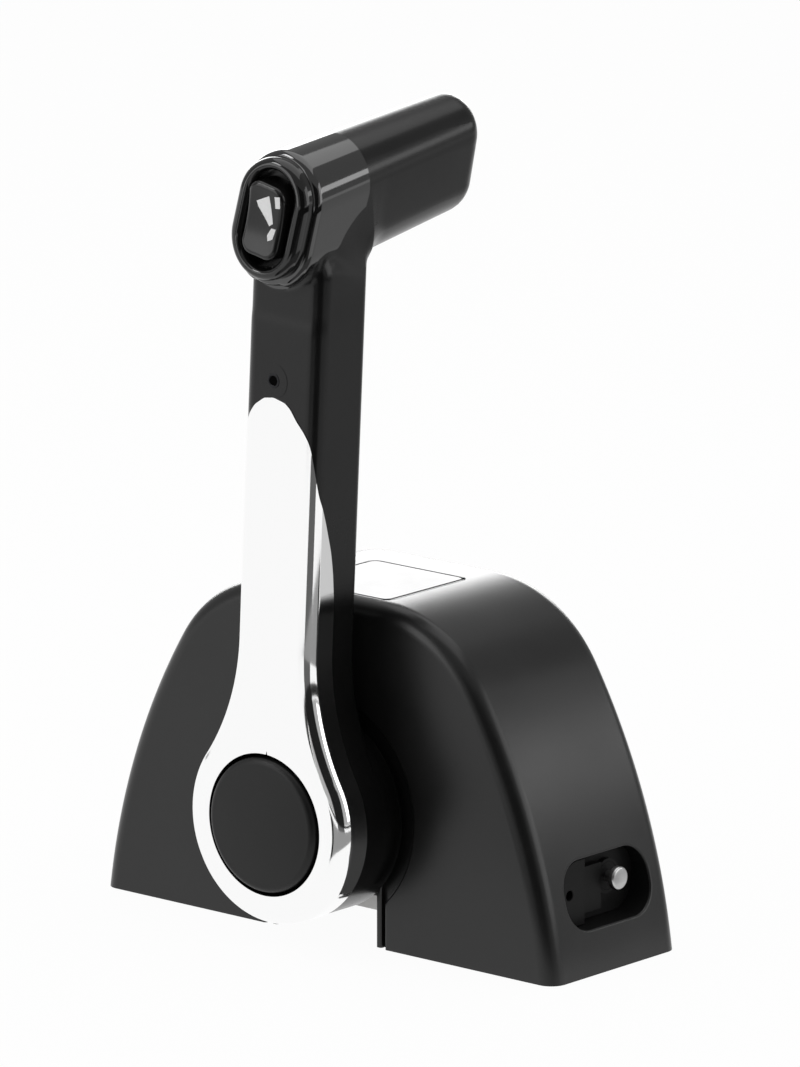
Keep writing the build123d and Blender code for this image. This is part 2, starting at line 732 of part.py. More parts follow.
with BuildPart() as grip_root:
    for drop, reach in ((1, 0), (0.7, 0.12), (0.35, 0.7), (0, 1)):
        back = arm_back - reach * grip_root_reach
        with BuildSketch(grip_root_plane.offset(-drop * grip_root_drop)):
            with Locations(((back + arm_neck_front) / 2, 0)):
                RectangleRounded(arm_neck_front - back, 2 * arm_half_width - grip_root_waist * reach,
                                 arm_edge_radius - 1)
    loft()

with BuildPart() as arm_moulding:
    with BuildSketch(lever_side.offset(hub_back)):
        Circle(hub_radius)
    extrude(amount=arm_back + arm_back_radius + 1 - hub_back)
    fillet(arm_moulding.faces().sort_by(Axis.X)[-1].edges(), 1.0)
    add(lever_blade(0, arm_back, arm_front))
    with BuildSketch(lever_edge_on):
        with BuildLine():
            Polyline((arm_front + 1, arm_shoulder), (arm_front, arm_shoulder),
                     (arm_neck_front, arm_shoulder + arm_front - arm_neck_front),
                     (arm_neck_front, arm_length + 1), (arm_front + 1, arm_length + 1), close=True)
        make_face()
    extrude(amount=2 * arm_half_width, both=True, mode=Mode.SUBTRACT)
    add(grip_root.part)
    add(grip_blank.part)
    add(head_space.part, mode=Mode.SUBTRACT)
    with BuildSketch(lever_side.offset(switch_back - 0.1)):
        with Locations((0, switch_height)):
            add(upright_slot(well_width + 2 * switch_wall + 2 * seat_gap,
                             well_length + 2 * switch_wall + 2 * seat_gap))
    extrude(amount=head_front, mode=Mode.SUBTRACT)
    add(trim_space.part, mode=Mode.SUBTRACT)
    add(core_solid(seat_gap), mode=Mode.SUBTRACT)
    with BuildSketch(lever_side.offset(well_floor)):
        Circle(well_radius)
    extrude(amount=arm_front, mode=Mode.SUBTRACT)
    with BuildSketch(lever_side.offset(hub_back)):
        Circle(core_hub_radius - 3)
    extrude(amount=arm_front, mode=Mode.SUBTRACT)
    with BuildSketch(lever_side.offset(core_back)):
        with Locations((arm_screw_x, arm_screw_y)):
            Circle(arm_screw_radius + 0.1)
    extrude(amount=arm_front, mode=Mode.SUBTRACT)
    with BuildSketch(lever_side.offset(arm_front - screw_head_depth - 0.6)):
        with Locations((arm_screw_x, arm_screw_y)):
            Circle(screw_head_radius + 0.2)
    extrude(amount=arm_front, mode=Mode.SUBTRACT)
save(arm_moulding.part, "arm_moulding")

with BuildPart() as arm_screw:
    with BuildSketch(lever_side.offset(core_back + 0.4)):
        with Locations((arm_screw_x, arm_screw_y)):
            Circle(arm_screw_radius - 0.25)
    extrude(amount=arm_front - screw_head_depth - 0.6 - core_back - 0.4)
    with BuildSketch(lever_side.offset(arm_front - screw_head_depth - 0.6)):
        with Locations((arm_screw_x, arm_screw_y)):
            Circle(screw_head_radius)
    extrude(amount=screw_head_depth)
    with BuildSketch(lever_side.offset(arm_front - 0.6)):
        with Locations((arm_screw_x, arm_screw_y)):
            RegularPolygon(1.45, 6)
    extrude(amount=-1.8, mode=Mode.SUBTRACT)
save(arm_screw.part, "arm_screw")

# ---------------------------------------------------------------- hub bolt and throttle button

washer_radius = 11.0
washer_thickness = 1.8
bolt_head_height = 5.3
bolt_head_across = 6.5

with BuildPart() as hub_washer:
    with BuildSketch(lever_side.offset(core_hub_front)):
        Circle(washer_radius)
        Circle(shaft_bolt_radius + 0.3, mode=Mode.SUBTRACT)
    extrude(amount=washer_thickness)
save(hub_washer.part, "hub_washer")

with BuildPart() as hub_bolt:
    with BuildSketch(lever_side.offset(core_hub_front + washer_thickness)):
        RegularPolygon(bolt_head_across, 6, major_radius=False)
    extrude(amount=bolt_head_height)
    chamfer(hub_bolt.faces().sort_by(Axis.X)[0].edges(), 0.5)
    with BuildSketch(lever_side.offset(shaft_front - shaft_bolt_length + 1)):
        Circle(shaft_bolt_radius)
    extrude(amount=core_hub_front + washer_thickness - shaft_front + shaft_bolt_length - 1)
save(hub_bolt.part, "hub_bolt")

button_front = arm_front + trim_proud + button_proud
button_crown = 0.9
button_crown_radius = (button_radius ** 2 + button_crown ** 2) / (2 * button_crown)
button_disc = 4.2
button_skirt_wall = 2.2
button_skirt = 10.0

with BuildPart() as throttle_button:
    with BuildSketch(lever_edge_on) as button_profile:
        with BuildLine():
            rim = button_front - button_crown
            Polyline((button_front, 0), (button_front - button_disc, 0),
                     (button_front - button_disc, button_radius - button_skirt_wall),
                     (rim - button_disc + 1 - button_skirt, button_radius - button_skirt_wall),
                     (rim - button_disc + 1 - button_skirt, button_radius), (rim, button_radius))
            CenterArc((button_front - button_crown_radius, 0), button_crown_radius, 0,
                      degrees(asin(button_radius / button_crown_radius)))
        make_face()
        fillet(button_profile.vertices().filter_by(lambda v: v.X > rim - 0.1 and v.Y > 1), button_edge_radius)
    revolve(axis=Axis(lever_side.origin, lever_side.z_dir))
save(throttle_button.part, "throttle_button")

spring_wire = 0.8
spring_radius = 17.0
spring_turns = 4.0
spring_foot = well_floor + spring_wire + 0.1
spring_height = button_front - button_disc - 2 * spring_wire - 0.2 - well_floor

with BuildPart() as button_spring:
    with BuildLine() as coil:
        Helix(pitch=spring_height / spring_turns, height=spring_height, radius=spring_radius,
              center=lever_side.offset(spring_foot).origin, direction=lever_side.z_dir)
    with BuildSketch(Plane(origin=coil.line @ 0, z_dir=coil.line % 0)):
        Circle(spring_wire)
    sweep()
save(button_spring.part, "button_spring")

# ---------------------------------------------------------------- engine-stop switch

pocket_plate = 2.0
stop_stem_radius = 2.0
stop_collar_radius = 6.0
stop_collar_height = 2.2
stop_head_back = pocket_floor + pocket_plate + stop_collar_height + stop_travel + 0.4
stop_head_height = 2.6
stop_body_length = 24.0
stop_body_size = 13.0
step_block_x = pocket_x + pocket_width / 2 - deep_pocket_width + 5.0
block_width = 9.0

with BuildPart() as switch_plate:
    with BuildSketch(aft_side.offset(pocket_floor + seat_gap)):
        with Locations((pocket_x, pocket_z)):
            RectangleRounded(pocket_width - 2 * seat_gap, pocket_height - 2 * seat_gap,
                             pocket_radius - seat_gap)
        with Locations((pocket_x + pocket_width / 2 - deep_pocket_width + seat_gap, pocket_z)):
            Rectangle(pocket_width, pocket_height, align=(Align.MAX, Align.CENTER), mode=Mode.SUBTRACT)
    extrude(amount=pocket_plate)
    with BuildSketch(aft_side.offset(pocket_floor + pocket_plate)):
        with Locations((step_block_x, pocket_z)):
            Rectangle(block_width, pocket_height - 7)
    extrude(amount=3.5)
    with BuildSketch(aft_side.offset(pocket_floor + pocket_plate)):
        with Locations((stop_x, stop_z)):
            Circle(stop_collar_radius)
    extrude(amount=stop_collar_height)
    with BuildSketch(aft_side.offset(pocket_floor)):
        with Locations((stop_x, stop_z)):
            Circle(stop_thread_radius + 0.1)
    extrude(amount=pocket_plate + stop_collar_height + 1, mode=Mode.SUBTRACT)
save(switch_plate.part, "switch_plate")

with BuildPart() as stop_switch_body:
    with BuildSketch(aft_side.offset(pocket_floor - cover_wall - seat_gap)):
        with Locations((stop_x, stop_z)):
            Rectangle(stop_body_size, stop_body_size)
    extrude(amount=-stop_body_length)
    with BuildSketch(aft_side.offset(pocket_floor - cover_wall - seat_gap)):
        with Locations((stop_x, stop_z)):
            Circle(stop_thread_radius)
    extrude(amount=cover_wall + seat_gap + pocket_plate + stop_collar_height)
    with BuildSketch(aft_side.offset(pocket_floor - stop_travel - 1)):
        with Locations((stop_x, stop_z)):
            Circle(stop_stem_radius + running_gap)
    extrude(amount=pocket_plate + stop_collar_height + stop_travel + 2, mode=Mode.SUBTRACT)
save(stop_switch_body.part, "stop_switch_body")

with BuildPart() as stop_button:
    with BuildSketch(aft_side.offset(pocket_floor - 0.6)):
        with Locations((stop_x, stop_z)):
            Circle(stop_stem_radius)
    extrude(amount=stop_head_back - pocket_floor + 0.6)
    with BuildSketch(aft_side.offset(stop_head_back)):
        with Locations((stop_x, stop_z)):
            Circle(stop_head_radius)
    extrude(amount=stop_head_height)
    fillet(stop_button.faces().sort_by(Axis.Y)[0].edges(), 1.0)
save(stop_button.part, "stop_button")

# ---------------------------------------------------------------- screws, clamps and friction brake

cover_screw_places = [(cover_screw_x, cover_screw_y), (cover_screw_x, -cover_screw_y)]

with BuildPart() as cover_screws:
    with BuildSketch(Plane.XY.offset(cover_screw_sunk)):
        with Locations(cover_screw_places):
            Circle(cover_screw_head_radius)
    extrude(amount=cover_screw_head)
    with BuildSketch(Plane.XY.offset(cover_screw_sunk + cover_screw_head)):
        with Locations(cover_screw_places):
            Circle(cover_pilot_radius - running_gap)
    extrude(amount=cover_screw_length)
    with BuildSketch(Plane.XY.offset(cover_screw_sunk)):
        with Locations(cover_screw_places):
            Rectangle(1.2 * cover_screw_head_radius, cover_screw_head / 2)
            Rectangle(cover_screw_head / 2, 1.2 * cover_screw_head_radius)
    extrude(amount=cover_screw_head / 2, mode=Mode.SUBTRACT)
save(cover_screws.part, "cover_screws")

clamp_height = 11.0
clamp_width = 12.0
clamp_depth = 8.0
clamp_x = gear_back + gear_thickness / 2
clamp_y = cable_slot_far + clamp_depth / 2
cable_groove = 2.6
clamp_screw_radius = 1.5
clamp_screw_head = 1.8
clamp_screw_places = [(clamp_x, clamp_y + 0.8), (clamp_x, -clamp_y - 0.8)]

with BuildPart() as cable_clamps:
    with BuildSketch(Plane.XY.offset(frame_thickness)):
        with Locations((clamp_x, clamp_y), (clamp_x, -clamp_y)):
            Rectangle(clamp_width, clamp_depth)
        with Locations((clamp_x, clamp_y - clamp_depth / 2), (clamp_x, clamp_depth / 2 - clamp_y)):
            Circle(cable_groove, mode=Mode.SUBTRACT)
        with Locations(clamp_screw_places):
            Circle(clamp_screw_radius + seat_gap / 2, mode=Mode.SUBTRACT)
    extrude(amount=clamp_height)
save(cable_clamps.part, "cable_clamps")

with BuildPart() as clamp_screws:
    with BuildSketch(Plane.XY.offset(frame_thickness)):
        with Locations(clamp_screw_places):
            Circle(clamp_screw_radius)
    extrude(amount=clamp_height)
    with BuildSketch(Plane.XY.offset(frame_thickness + clamp_height)):
        with Locations(clamp_screw_places):
            Circle(clamp_screw_radius + 1.1)
    extrude(amount=clamp_screw_head)
save(clamp_screws.part, "clamp_screws")

brake_plane = Plane.XY.offset(hub_height)

with BuildPart() as friction_pad:
    with BuildSketch(brake_plane.offset(shaft_radius + running_gap)):
        with Locations((brake_x, 0)):
            Circle(brake_radius - seat_gap)
    extrude(amount=brake_pad_length)
save(friction_pad.part, "friction_pad")

with BuildPart() as friction_screw:
    with BuildSketch(brake_plane.offset(shaft_radius + running_gap + brake_pad_length)):
        with Locations((brake_x, 0)):
            Circle(brake_radius - seat_gap / 4)
    extrude(amount=brake_screw_length)
    with BuildSketch(friction_screw.faces().sort_by(Axis.Z)[-1]):
        RegularPolygon(brake_radius / 2, 6)
    extrude(amount=-brake_screw_length / 2, mode=Mode.SUBTRACT)
save(friction_screw.part, "friction_screw")
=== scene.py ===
"""Boat throttle control lever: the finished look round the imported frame, with an operator for each group."""

from math import cos, radians, sin

import bmesh
import bpy
import numpy as np
from bpy.props import FloatProperty, FloatVectorProperty, PointerProperty
from bpy.types import Operator, Panel, PropertyGroup
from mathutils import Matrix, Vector


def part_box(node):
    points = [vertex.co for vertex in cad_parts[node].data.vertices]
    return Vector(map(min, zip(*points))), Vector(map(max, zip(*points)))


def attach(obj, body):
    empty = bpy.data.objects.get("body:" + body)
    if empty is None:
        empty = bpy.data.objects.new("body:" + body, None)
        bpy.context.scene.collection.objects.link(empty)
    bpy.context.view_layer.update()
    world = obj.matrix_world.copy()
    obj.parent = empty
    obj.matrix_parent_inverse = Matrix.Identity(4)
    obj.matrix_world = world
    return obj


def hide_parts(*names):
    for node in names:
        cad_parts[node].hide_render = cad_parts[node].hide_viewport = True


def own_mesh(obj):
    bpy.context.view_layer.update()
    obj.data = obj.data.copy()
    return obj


bl_info = {
    "name": "Throttle Control Lever",
    "version": (1, 0, 0),
    "blender": (4, 5, 0),
    "location": "View3D > Sidebar > Control Lever",
    "description": "Builds the visible surfaces, finishes and studio of a single-lever engine control",
    "category": "Add Mesh",
}

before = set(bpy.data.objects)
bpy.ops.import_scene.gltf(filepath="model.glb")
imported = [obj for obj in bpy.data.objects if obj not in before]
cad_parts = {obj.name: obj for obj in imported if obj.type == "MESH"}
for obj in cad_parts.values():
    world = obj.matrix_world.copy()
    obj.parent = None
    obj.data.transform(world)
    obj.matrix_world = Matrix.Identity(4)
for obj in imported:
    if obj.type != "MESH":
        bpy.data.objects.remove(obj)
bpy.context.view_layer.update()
MM = 0.001


def length(name, description, millimetres):
    return FloatProperty(name=name, description=description, default=millimetres * MM, unit="LENGTH")


def colour(name, description, grey, warm=0.0):
    return FloatVectorProperty(name=name, description=description, subtype="COLOR", size=4, min=0, max=1,
                               default=(grey * (1 + warm), grey, grey * (1 - warm), 1))


# ---------------------------------------------------------------- sizes and colours

class CoverSizes(PropertyGroup):
    width: length("Width", "Port to starboard", 66)
    half_length: length("Half length", "Middle to either end on the deck", 100.5)
    height: length("Height", "Deck to the flat top", 119)
    flat: length("Flat", "Half length of the flat top", 22.7)
    shoulder: length("Shoulder radius", "Arc between the flat top and the end", 51.6)
    edge: length("Edge radius", "Rounding between the sides and the ends", 6)
    wall: length("Wall", "Thickness of the moulding", 2.6)
    opening: length("Opening radius", "Round opening behind the hub", 39)
    slot: length("Slot half width", "Straight slot from the opening to the deck", 26.5)
    recess_width: length("Recess width", "Engine-stop recess, port to starboard", 43.5)
    recess_height: length("Recess height", "Engine-stop recess, up and down", 23)
    recess_x: length("Recess x", "Middle of the recess to starboard", 1.3)
    recess_z: length("Recess z", "Middle of the recess above the deck", 26.5)
    recess_floor: length("Recess floor", "Deep floor, aft of the middle", 85.5)
    recess_step: length("Recess step", "Shallow floor, aft of the middle", 92)
    recess_shelf: length("Recess shelf", "Where the shallow floor ends, to starboard", -6.45)
    panel: length("Panel side", "Square panel let into the top", 41)
    panel_x: length("Panel x", "Middle of the panel to starboard", -6.3)
    panel_y: length("Panel y", "Middle of the panel forward", -2)


class LeverSizes(PropertyGroup):
    lean: FloatProperty(name="Lean", description="Aft lean in neutral", default=radians(2.8), unit="ROTATION")
    hub_height: length("Hub height", "Deck to the hub's axis", 45)
    hub: length("Hub radius", "Disc at the foot of the lever", 34.6)
    hub_back: length("Hub back", "Inboard face of the hub, from the middle plane", 32.7)
    half_width: length("Half width", "Half the arm's breadth", 16.3)
    back: length("Arm back", "Inboard face of the arm", 39)
    front: length("Arm front", "Outboard face of the arm", 63.6)
    neck_front: length("Upper front", "Outboard face above the shoulder", 63.3)
    shoulder: length("Shoulder", "Hub axis to the soft step in the front", 174)
    top: length("Arm top", "Hub axis to the arm's top inside the grip", 203)
    neck: length("Neck radius", "Hollow curve between hub and arm", 80)
    edge: length("Front edge", "Rounding along the front", 5)
    back_edge: length("Back edge", "Rounding along the back", 3)
    well: length("Well radius", "Bore that the hub button sits in", 24.5)
    well_floor: length("Well floor", "Bottom of that bore", 46)
    trim_proud: length("Trim proud", "Bright trim above the moulding", 0.3)
    trim_back: length("Trim back", "Back edge of the trim round the hub", 51.5)
    button: length("Button radius", "Hub button", 23.2)
    button_front: length("Button front", "Crown of the hub button", 66.5)


class GripSizes(PropertyGroup):
    height: length("Grip height", "Hub axis to the middle of the near end", 208.8)
    near_width: length("Near width", "Breadth of the oval at the near end", 32.8)
    near_depth: length("Near depth", "Height of the oval at the near end", 46.4)
    far_width: length("Far width", "Breadth of the oval at the far end", 26)
    far_depth: length("Far depth", "Height of the oval at the far end", 40.6)
    rise: length("Rise", "How much higher the far end lies", 11)
    tilt: FloatProperty(name="Tilt", description="Aft tilt of the oval", default=radians(8.5), unit="ROTATION")
    end: length("Far end", "Far end, starboard of the middle plane", 20)
    end_edge: length("End rounding", "Rounding of the far end", 6)
    head_front: length("Head front", "Near face of the head", 67)
    head_edge: length("Head edge", "Rounding of the near face", 2.4)
    bezel_front: length("Bezel front", "Foremost ring of the bezel", 72.4)
    lip: length("Lower lip", "How much farther out the lower end of the near face stands", 3.6)
    bezel_width: length("Bezel width", "Breadth of the bezel", 29.8)
    bezel_depth: length("Bezel depth", "Height of the bezel", 41.4)
    switch_height: length("Switch height", "Hub axis to the middle of bezel and rocker", 210)
    rocker_width: length("Rocker width", "Across the rocker", 15.4)
    rocker_length: length("Rocker length", "Along the rocker", 25.5)
    rocker_front: length("Rocker front", "Foremost face of the rocker", 76.5)
    blend: length("Blend", "Softness of the joint between arm and grip", 12.5)


class Finishes(PropertyGroup):
    dome: colour("Cover plastic", "Satin black moulding of the cover", 0.007)
    arm: colour("Arm plastic", "Satin black moulding of the lever", 0.0045)
    gloss: colour("Gloss plastic", "Polished black moulding", 0.006)
    button: colour("Button plastic", "Soft black moulding of the hub button", 0.006)
    chrome: colour("Chrome", "Bright plating", 0.93)
    steel: colour("Steel", "Machined steel", 0.55)
    alloy: colour("Alloy", "Cast alloy", 0.48, 0.01)
    acetal: colour("Acetal", "Natural bearing plastic", 0.62, 0.05)
    pad: colour("Brake pad", "Friction pad", 0.12, 0.15)
    mark: colour("Mark", "White print on the rocker", 0.8)
    switch: colour("Switch", "Black plastic of switches and recess", 0.006)
    # painted shade: near black that stands in for the shade deep in the screw's socket
    socket: colour("Socket", "Depth of the screw's socket", 0.0012)
    dark_steel: FloatVectorProperty(name="Dark steel", description="Blackened screw", subtype="COLOR", size=4, min=0,
                                    max=1, default=(0.03, 0.03, 0.032, 1))
    room: colour("Room", "Floor", 0.95)


class StudioSettings(PropertyGroup):
    heading: FloatProperty(name="Heading", description="Camera's bearing", default=radians(40.61), unit="ROTATION")
    pitch: FloatProperty(name="Pitch", description="Camera's look down", default=radians(13.44), unit="ROTATION")
    distance: FloatProperty(name="Distance", description="Camera to target", default=3.984, unit="LENGTH")
    lens: FloatProperty(name="Lens", description="Focal length in millimetres", default=532.44)
    target: FloatVectorProperty(name="Target", description="Middle of the view", subtype="TRANSLATION",
                                default=(0.00254, -0.00296, 0.13366))
    floor_half: FloatProperty(name="Floor", description="Half the floor's side", default=6, unit="LENGTH")
    floor_share: FloatProperty(name="Floor glow", description="Share of glow that the camera sees", default=0.96)
    mirror_gain: FloatProperty(name="Mirror gain", description="Extra glow for metal and glass", default=0.02)
    room_light: FloatProperty(name="Room light", description="Strength of the room's diffuse light", default=0.35)
    room_gloss: FloatProperty(name="Room gloss", description="Strength of the room in reflections", default=0.42)


# ---------------------------------------------------------------- mesh helpers

def lever(u, v, w):
    """Places points given aft, up the lever and outboard of the hub's axis."""
    s = bpy.context.scene.lever_sizes
    across, along = cos(s.lean), sin(s.lean)
    return np.stack(np.broadcast_arrays(-w, -across * u - along * v, s.hub_height - along * u + across * v), -1)


def aft(x, z, depth):
    """Places points given starboard, up and aft of the middle."""
    return np.stack(np.broadcast_arrays(x, -depth, z), -1)


def rounded(corners, radii, steps=7, hold=0.0002):
    """Open profile through the corners, each turned into an arc tangent to both its sides.
    A point just outside each end of an arc keeps the flats beside it flat."""
    corners = np.asarray(corners, float)
    runs = [corners[:1]]
    for before, at, after, radius in zip(corners, corners[1:], corners[2:], radii):
        a, b = (p / np.linalg.norm(p) for p in (before - at, after - at))
        half = np.arccos(np.clip(a @ b, -1, 1)) / 2
        centre = at + (a + b) / np.linalg.norm(a + b) * radius / np.sin(half)
        start, end = at + a * radius / np.tan(half), at + b * radius / np.tan(half)
        turn = np.pi - 2 * half
        t = np.linspace(0, 1, steps)[:, None]
        arc = centre + (np.sin((1 - t) * turn) * (start - centre) + np.sin(t * turn) * (end - centre)) / np.sin(turn)
        runs += [start[None] + a * hold, arc, end[None] + b * hold]
    return np.concatenate(runs + [corners[-1:]])


def turned(profile, place, centre=(0, 0), steps=96):
    """Profile of (radius, height) carried round its axis: point = centre + radius * (cos, sin) at that height."""
    angle = np.linspace(0, 2 * np.pi, steps + 1)[:, None]
    radius, height = profile[:, 0], profile[:, 1]
    return place(centre[0] + radius * np.cos(angle), centre[1] + radius * np.sin(angle), height + 0 * angle)


def corner_box(x, y, half_x, half_y, radius):
    """Distance to a rectangle with rounded corners: negative inside."""
    qx, qy = np.abs(x) - half_x + radius, np.abs(y) - half_y + radius
    return np.hypot(np.maximum(qx, 0), np.maximum(qy, 0)) + np.minimum(np.maximum(qx, qy), 0) - radius


def meet(a, b, radius):
    """Both of two distances, with a rounded edge where they meet."""
    qa, qb = a + radius, b + radius
    return np.hypot(np.maximum(qa, 0), np.maximum(qb, 0)) + np.minimum(np.maximum(qa, qb), 0) - radius


def melt(a, b, softness):
    """Either of two distances, with a soft fillet where they cross."""
    h = np.clip(0.5 + 0.5 * (b - a) / softness, 0, 1)
    return b + (a - b) * h - softness * h * (1 - h)


def cast(form, origins, directions, reach, rough=40, fine=28):
    """Where rays first leave a form: the first of evenly spaced samples outside it, then halving."""
    t = np.linspace(0, reach, rough)
    samples = origins[..., None, :] + directions[..., None, :] * t[:, None]
    outside = form(*np.moveaxis(samples, -1, 0)) > 0
    first = np.maximum(np.argmax(outside, -1), 1)
    low, high = t[first - 1], t[first]
    for _ in range(fine):
        middle = (low + high) / 2
        out = form(*np.moveaxis(origins + directions * middle[..., None], -1, 0)) > 0
        low, high = np.where(out, low, middle), np.where(out, middle, high)
    return origins + directions * low[..., None]


def circle(count):
    """Unit vectors once round, the last on the first."""
    angle = np.linspace(0, 2 * np.pi, count)
    return np.stack((np.cos(angle), np.sin(angle)), -1)


def outline(form, way, reach):
    """Where rays from the origin leave a flat form, and its outward normals there."""
    edge = cast(form, np.zeros_like(way), way, reach)
    step = np.roll(edge[:-1], -1, 0) - np.roll(edge[:-1], 1, 0)
    normal = np.stack((step[:, 1], -step[:, 0]), -1) / np.linalg.norm(step, axis=1)[:, None]
    normal = np.concatenate((normal, normal[:1]))
    return edge, normal * np.sign((normal * way).sum(1))[:, None]


def mesh_of(name, surfaces):
    """One mesh from several grids of points, with a face in each cell, or in the cells that a mask keeps.
    Doubles are merged, which closes seams and poles, and the faces are turned outwards."""
    points, faces, start = [], [], 0
    for surface in surfaces:
        grid, keep = surface if isinstance(surface, tuple) else (surface, None)
        n, m = grid.shape[:2]
        index = start + np.arange(n * m).reshape(n, m)
        quads = np.stack((index[:-1, :-1], index[:-1, 1:], index[1:, 1:], index[1:, :-1]), -1)
        faces.append(quads.reshape(-1, 4) if keep is None else quads[keep])
        points.append(grid.reshape(-1, 3))
        start += n * m
    points, faces = np.concatenate(points), np.concatenate(faces)
    mesh = bpy.data.meshes.new(name)
    mesh.vertices.add(len(points))
    mesh.vertices.foreach_set("co", points.astype(np.float32).ravel())
    mesh.loops.add(faces.size)
    mesh.loops.foreach_set("vertex_index", faces.astype(np.int32).ravel())
    mesh.polygons.add(len(faces))
    mesh.polygons.foreach_set("loop_start", np.arange(0, faces.size, 4, dtype=np.int32))
    mesh.update(calc_edges=True)
    work = bmesh.new()
    work.from_mesh(mesh)
    bmesh.ops.remove_doubles(work, verts=work.verts, dist=2e-6)
    bmesh.ops.recalc_face_normals(work, faces=work.faces)
    work.to_mesh(mesh)
    work.free()
    return mesh


def added(name, data):
    """New object in the scene."""
    made = bpy.data.objects.new(name, data)
    bpy.context.scene.collection.objects.link(made)
    return made


def piece(name, surfaces, body, label, stands_for=(), sharp=38, wall=0.0, bevel=0.0):
    """Makes a piece from grids: smooth but for its sharp edges, riding on its body. A wall thickens an open skin
    inwards and a bevel rounds its edges."""
    mesh = mesh_of(name, surfaces)
    mesh.shade_smooth()
    mesh.set_sharp_from_angle(angle=radians(sharp))
    mesh.materials.append(material_of(label))
    made = added(name, mesh)
    if wall:
        thicken = made.modifiers.new("wall", "SOLIDIFY")
        thicken.thickness, thicken.offset, thicken.use_even_offset = wall, -1, True
    if bevel:
        soften = made.modifiers.new("edges", "BEVEL")
        soften.width, soften.segments, soften.limit_method = bevel, 3, "ANGLE"
        soften.angle_limit, soften.harden_normals = radians(50), True
    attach(made, body)
    if stands_for:
        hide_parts(*stands_for)
    return made


# ---------------------------------------------------------------- finishes

def group(name, inputs, outputs):
    """New shader node group with float or colour sockets, its nodes and its two ends."""
    tree = bpy.data.node_groups.new(name, "ShaderNodeTree")
    for label, kind, value in inputs:
        socket = tree.interface.new_socket(name=label, in_out="INPUT", socket_type=kind)
        socket.default_value = value
    for label, kind in outputs:
        tree.interface.new_socket(name=label, in_out="OUTPUT", socket_type=kind)
    return tree, tree.nodes.new("NodeGroupInput"), tree.nodes.new("NodeGroupOutput")


def add(tree, kind, inputs=(), **settings):
    """Adds a node and sets its attributes and inputs. An input takes a value, a socket or a node's first output."""
    node = tree.nodes.new(kind)
    inputs = dict(inputs)
    for key, value in settings.items():
        if hasattr(node, key):
            setattr(node, key, value)
        else:
            inputs[key.replace("_", " ")] = value
    for key, source in inputs.items():
        source = source.outputs[0] if isinstance(source, bpy.types.Node) else source
        if isinstance(source, bpy.types.NodeSocket):
            tree.links.new(source, node.inputs[key])
        else:
            node.inputs[key].default_value = source
    return node


def maths(tree, operation, *values):
    return add(tree, "ShaderNodeMath", dict(enumerate(values)), operation=operation)


def noise(tree, place, scale, detail, roughness=0.5):
    return add(tree, "ShaderNodeTexNoise", {"Vector": place, "Scale": scale}, Detail=detail, Roughness=roughness)


def give(tree, ends, **outputs):
    for name, node in outputs.items():
        tree.links.new(node.outputs[0], ends.inputs[name])


F, C, V = "NodeSocketFloat", "NodeSocketColor", "NodeSocketVector"


def moulded_skin():
    """Fine spark-eroded grain of a moulding: two scales of noise lift the surface and vary colour and gloss."""
    tree, come, go = group("Moulded skin",
                           (("Colour", C, (0, 0, 0, 1)), ("Roughness", F, 0.4), ("Grain", F, 0.3),
                            ("Scale", F, 900.0), ("Mottle", F, 0.2)),
                           (("Colour", C), ("Roughness", F), ("Normal", V)))
    place = add(tree, "ShaderNodeTexCoord").outputs["Object"]
    fine = noise(tree, place, come.outputs["Scale"], 3.0, 0.6)
    broad = noise(tree, place, 38.0, 4.0, 0.55)
    spread = add(tree, "ShaderNodeMapRange", {"Value": broad}, From_Min=0.3, From_Max=0.7, To_Min=-1.0, To_Max=1.0)
    part = maths(tree, "MULTIPLY", spread, come.outputs["Mottle"])
    gain = maths(tree, "ADD", part, 1.0)
    tint = add(tree, "ShaderNodeVectorMath", {0: come.outputs["Colour"], "Scale": gain}, operation="SCALE")
    sheen = maths(tree, "MULTIPLY_ADD", part, 0.12, come.outputs["Roughness"])
    bump = add(tree, "ShaderNodeBump", {"Height": fine, "Strength": come.outputs["Grain"]}, Distance=0.00006)
    give(tree, go, Colour=tint, Roughness=sheen, Normal=bump)
    return tree


def handled_gloss():
    """Faint polishing marks and smears: stretched noise varies the gloss and ripples the surface a little."""
    tree, come, go = group("Handled gloss",
                           (("Roughness", F, 0.1), ("Smears", F, 0.05), ("Ripple", F, 0.05)),
                           (("Roughness", F), ("Normal", V)))
    place = add(tree, "ShaderNodeTexCoord").outputs["Object"]
    stretch = add(tree, "ShaderNodeMapping", {"Vector": place}, Scale=(60, 140, 24))
    smear = noise(tree, stretch, 1.0, 6.0, 0.65)
    soft = noise(tree, place, 26.0, 1.0)
    sheen = maths(tree, "MULTIPLY_ADD", smear, come.outputs["Smears"], come.outputs["Roughness"])
    bump = add(tree, "ShaderNodeBump", {"Height": soft, "Strength": come.outputs["Ripple"]}, Distance=0.0004)
    give(tree, go, Roughness=sheen, Normal=bump)
    return tree


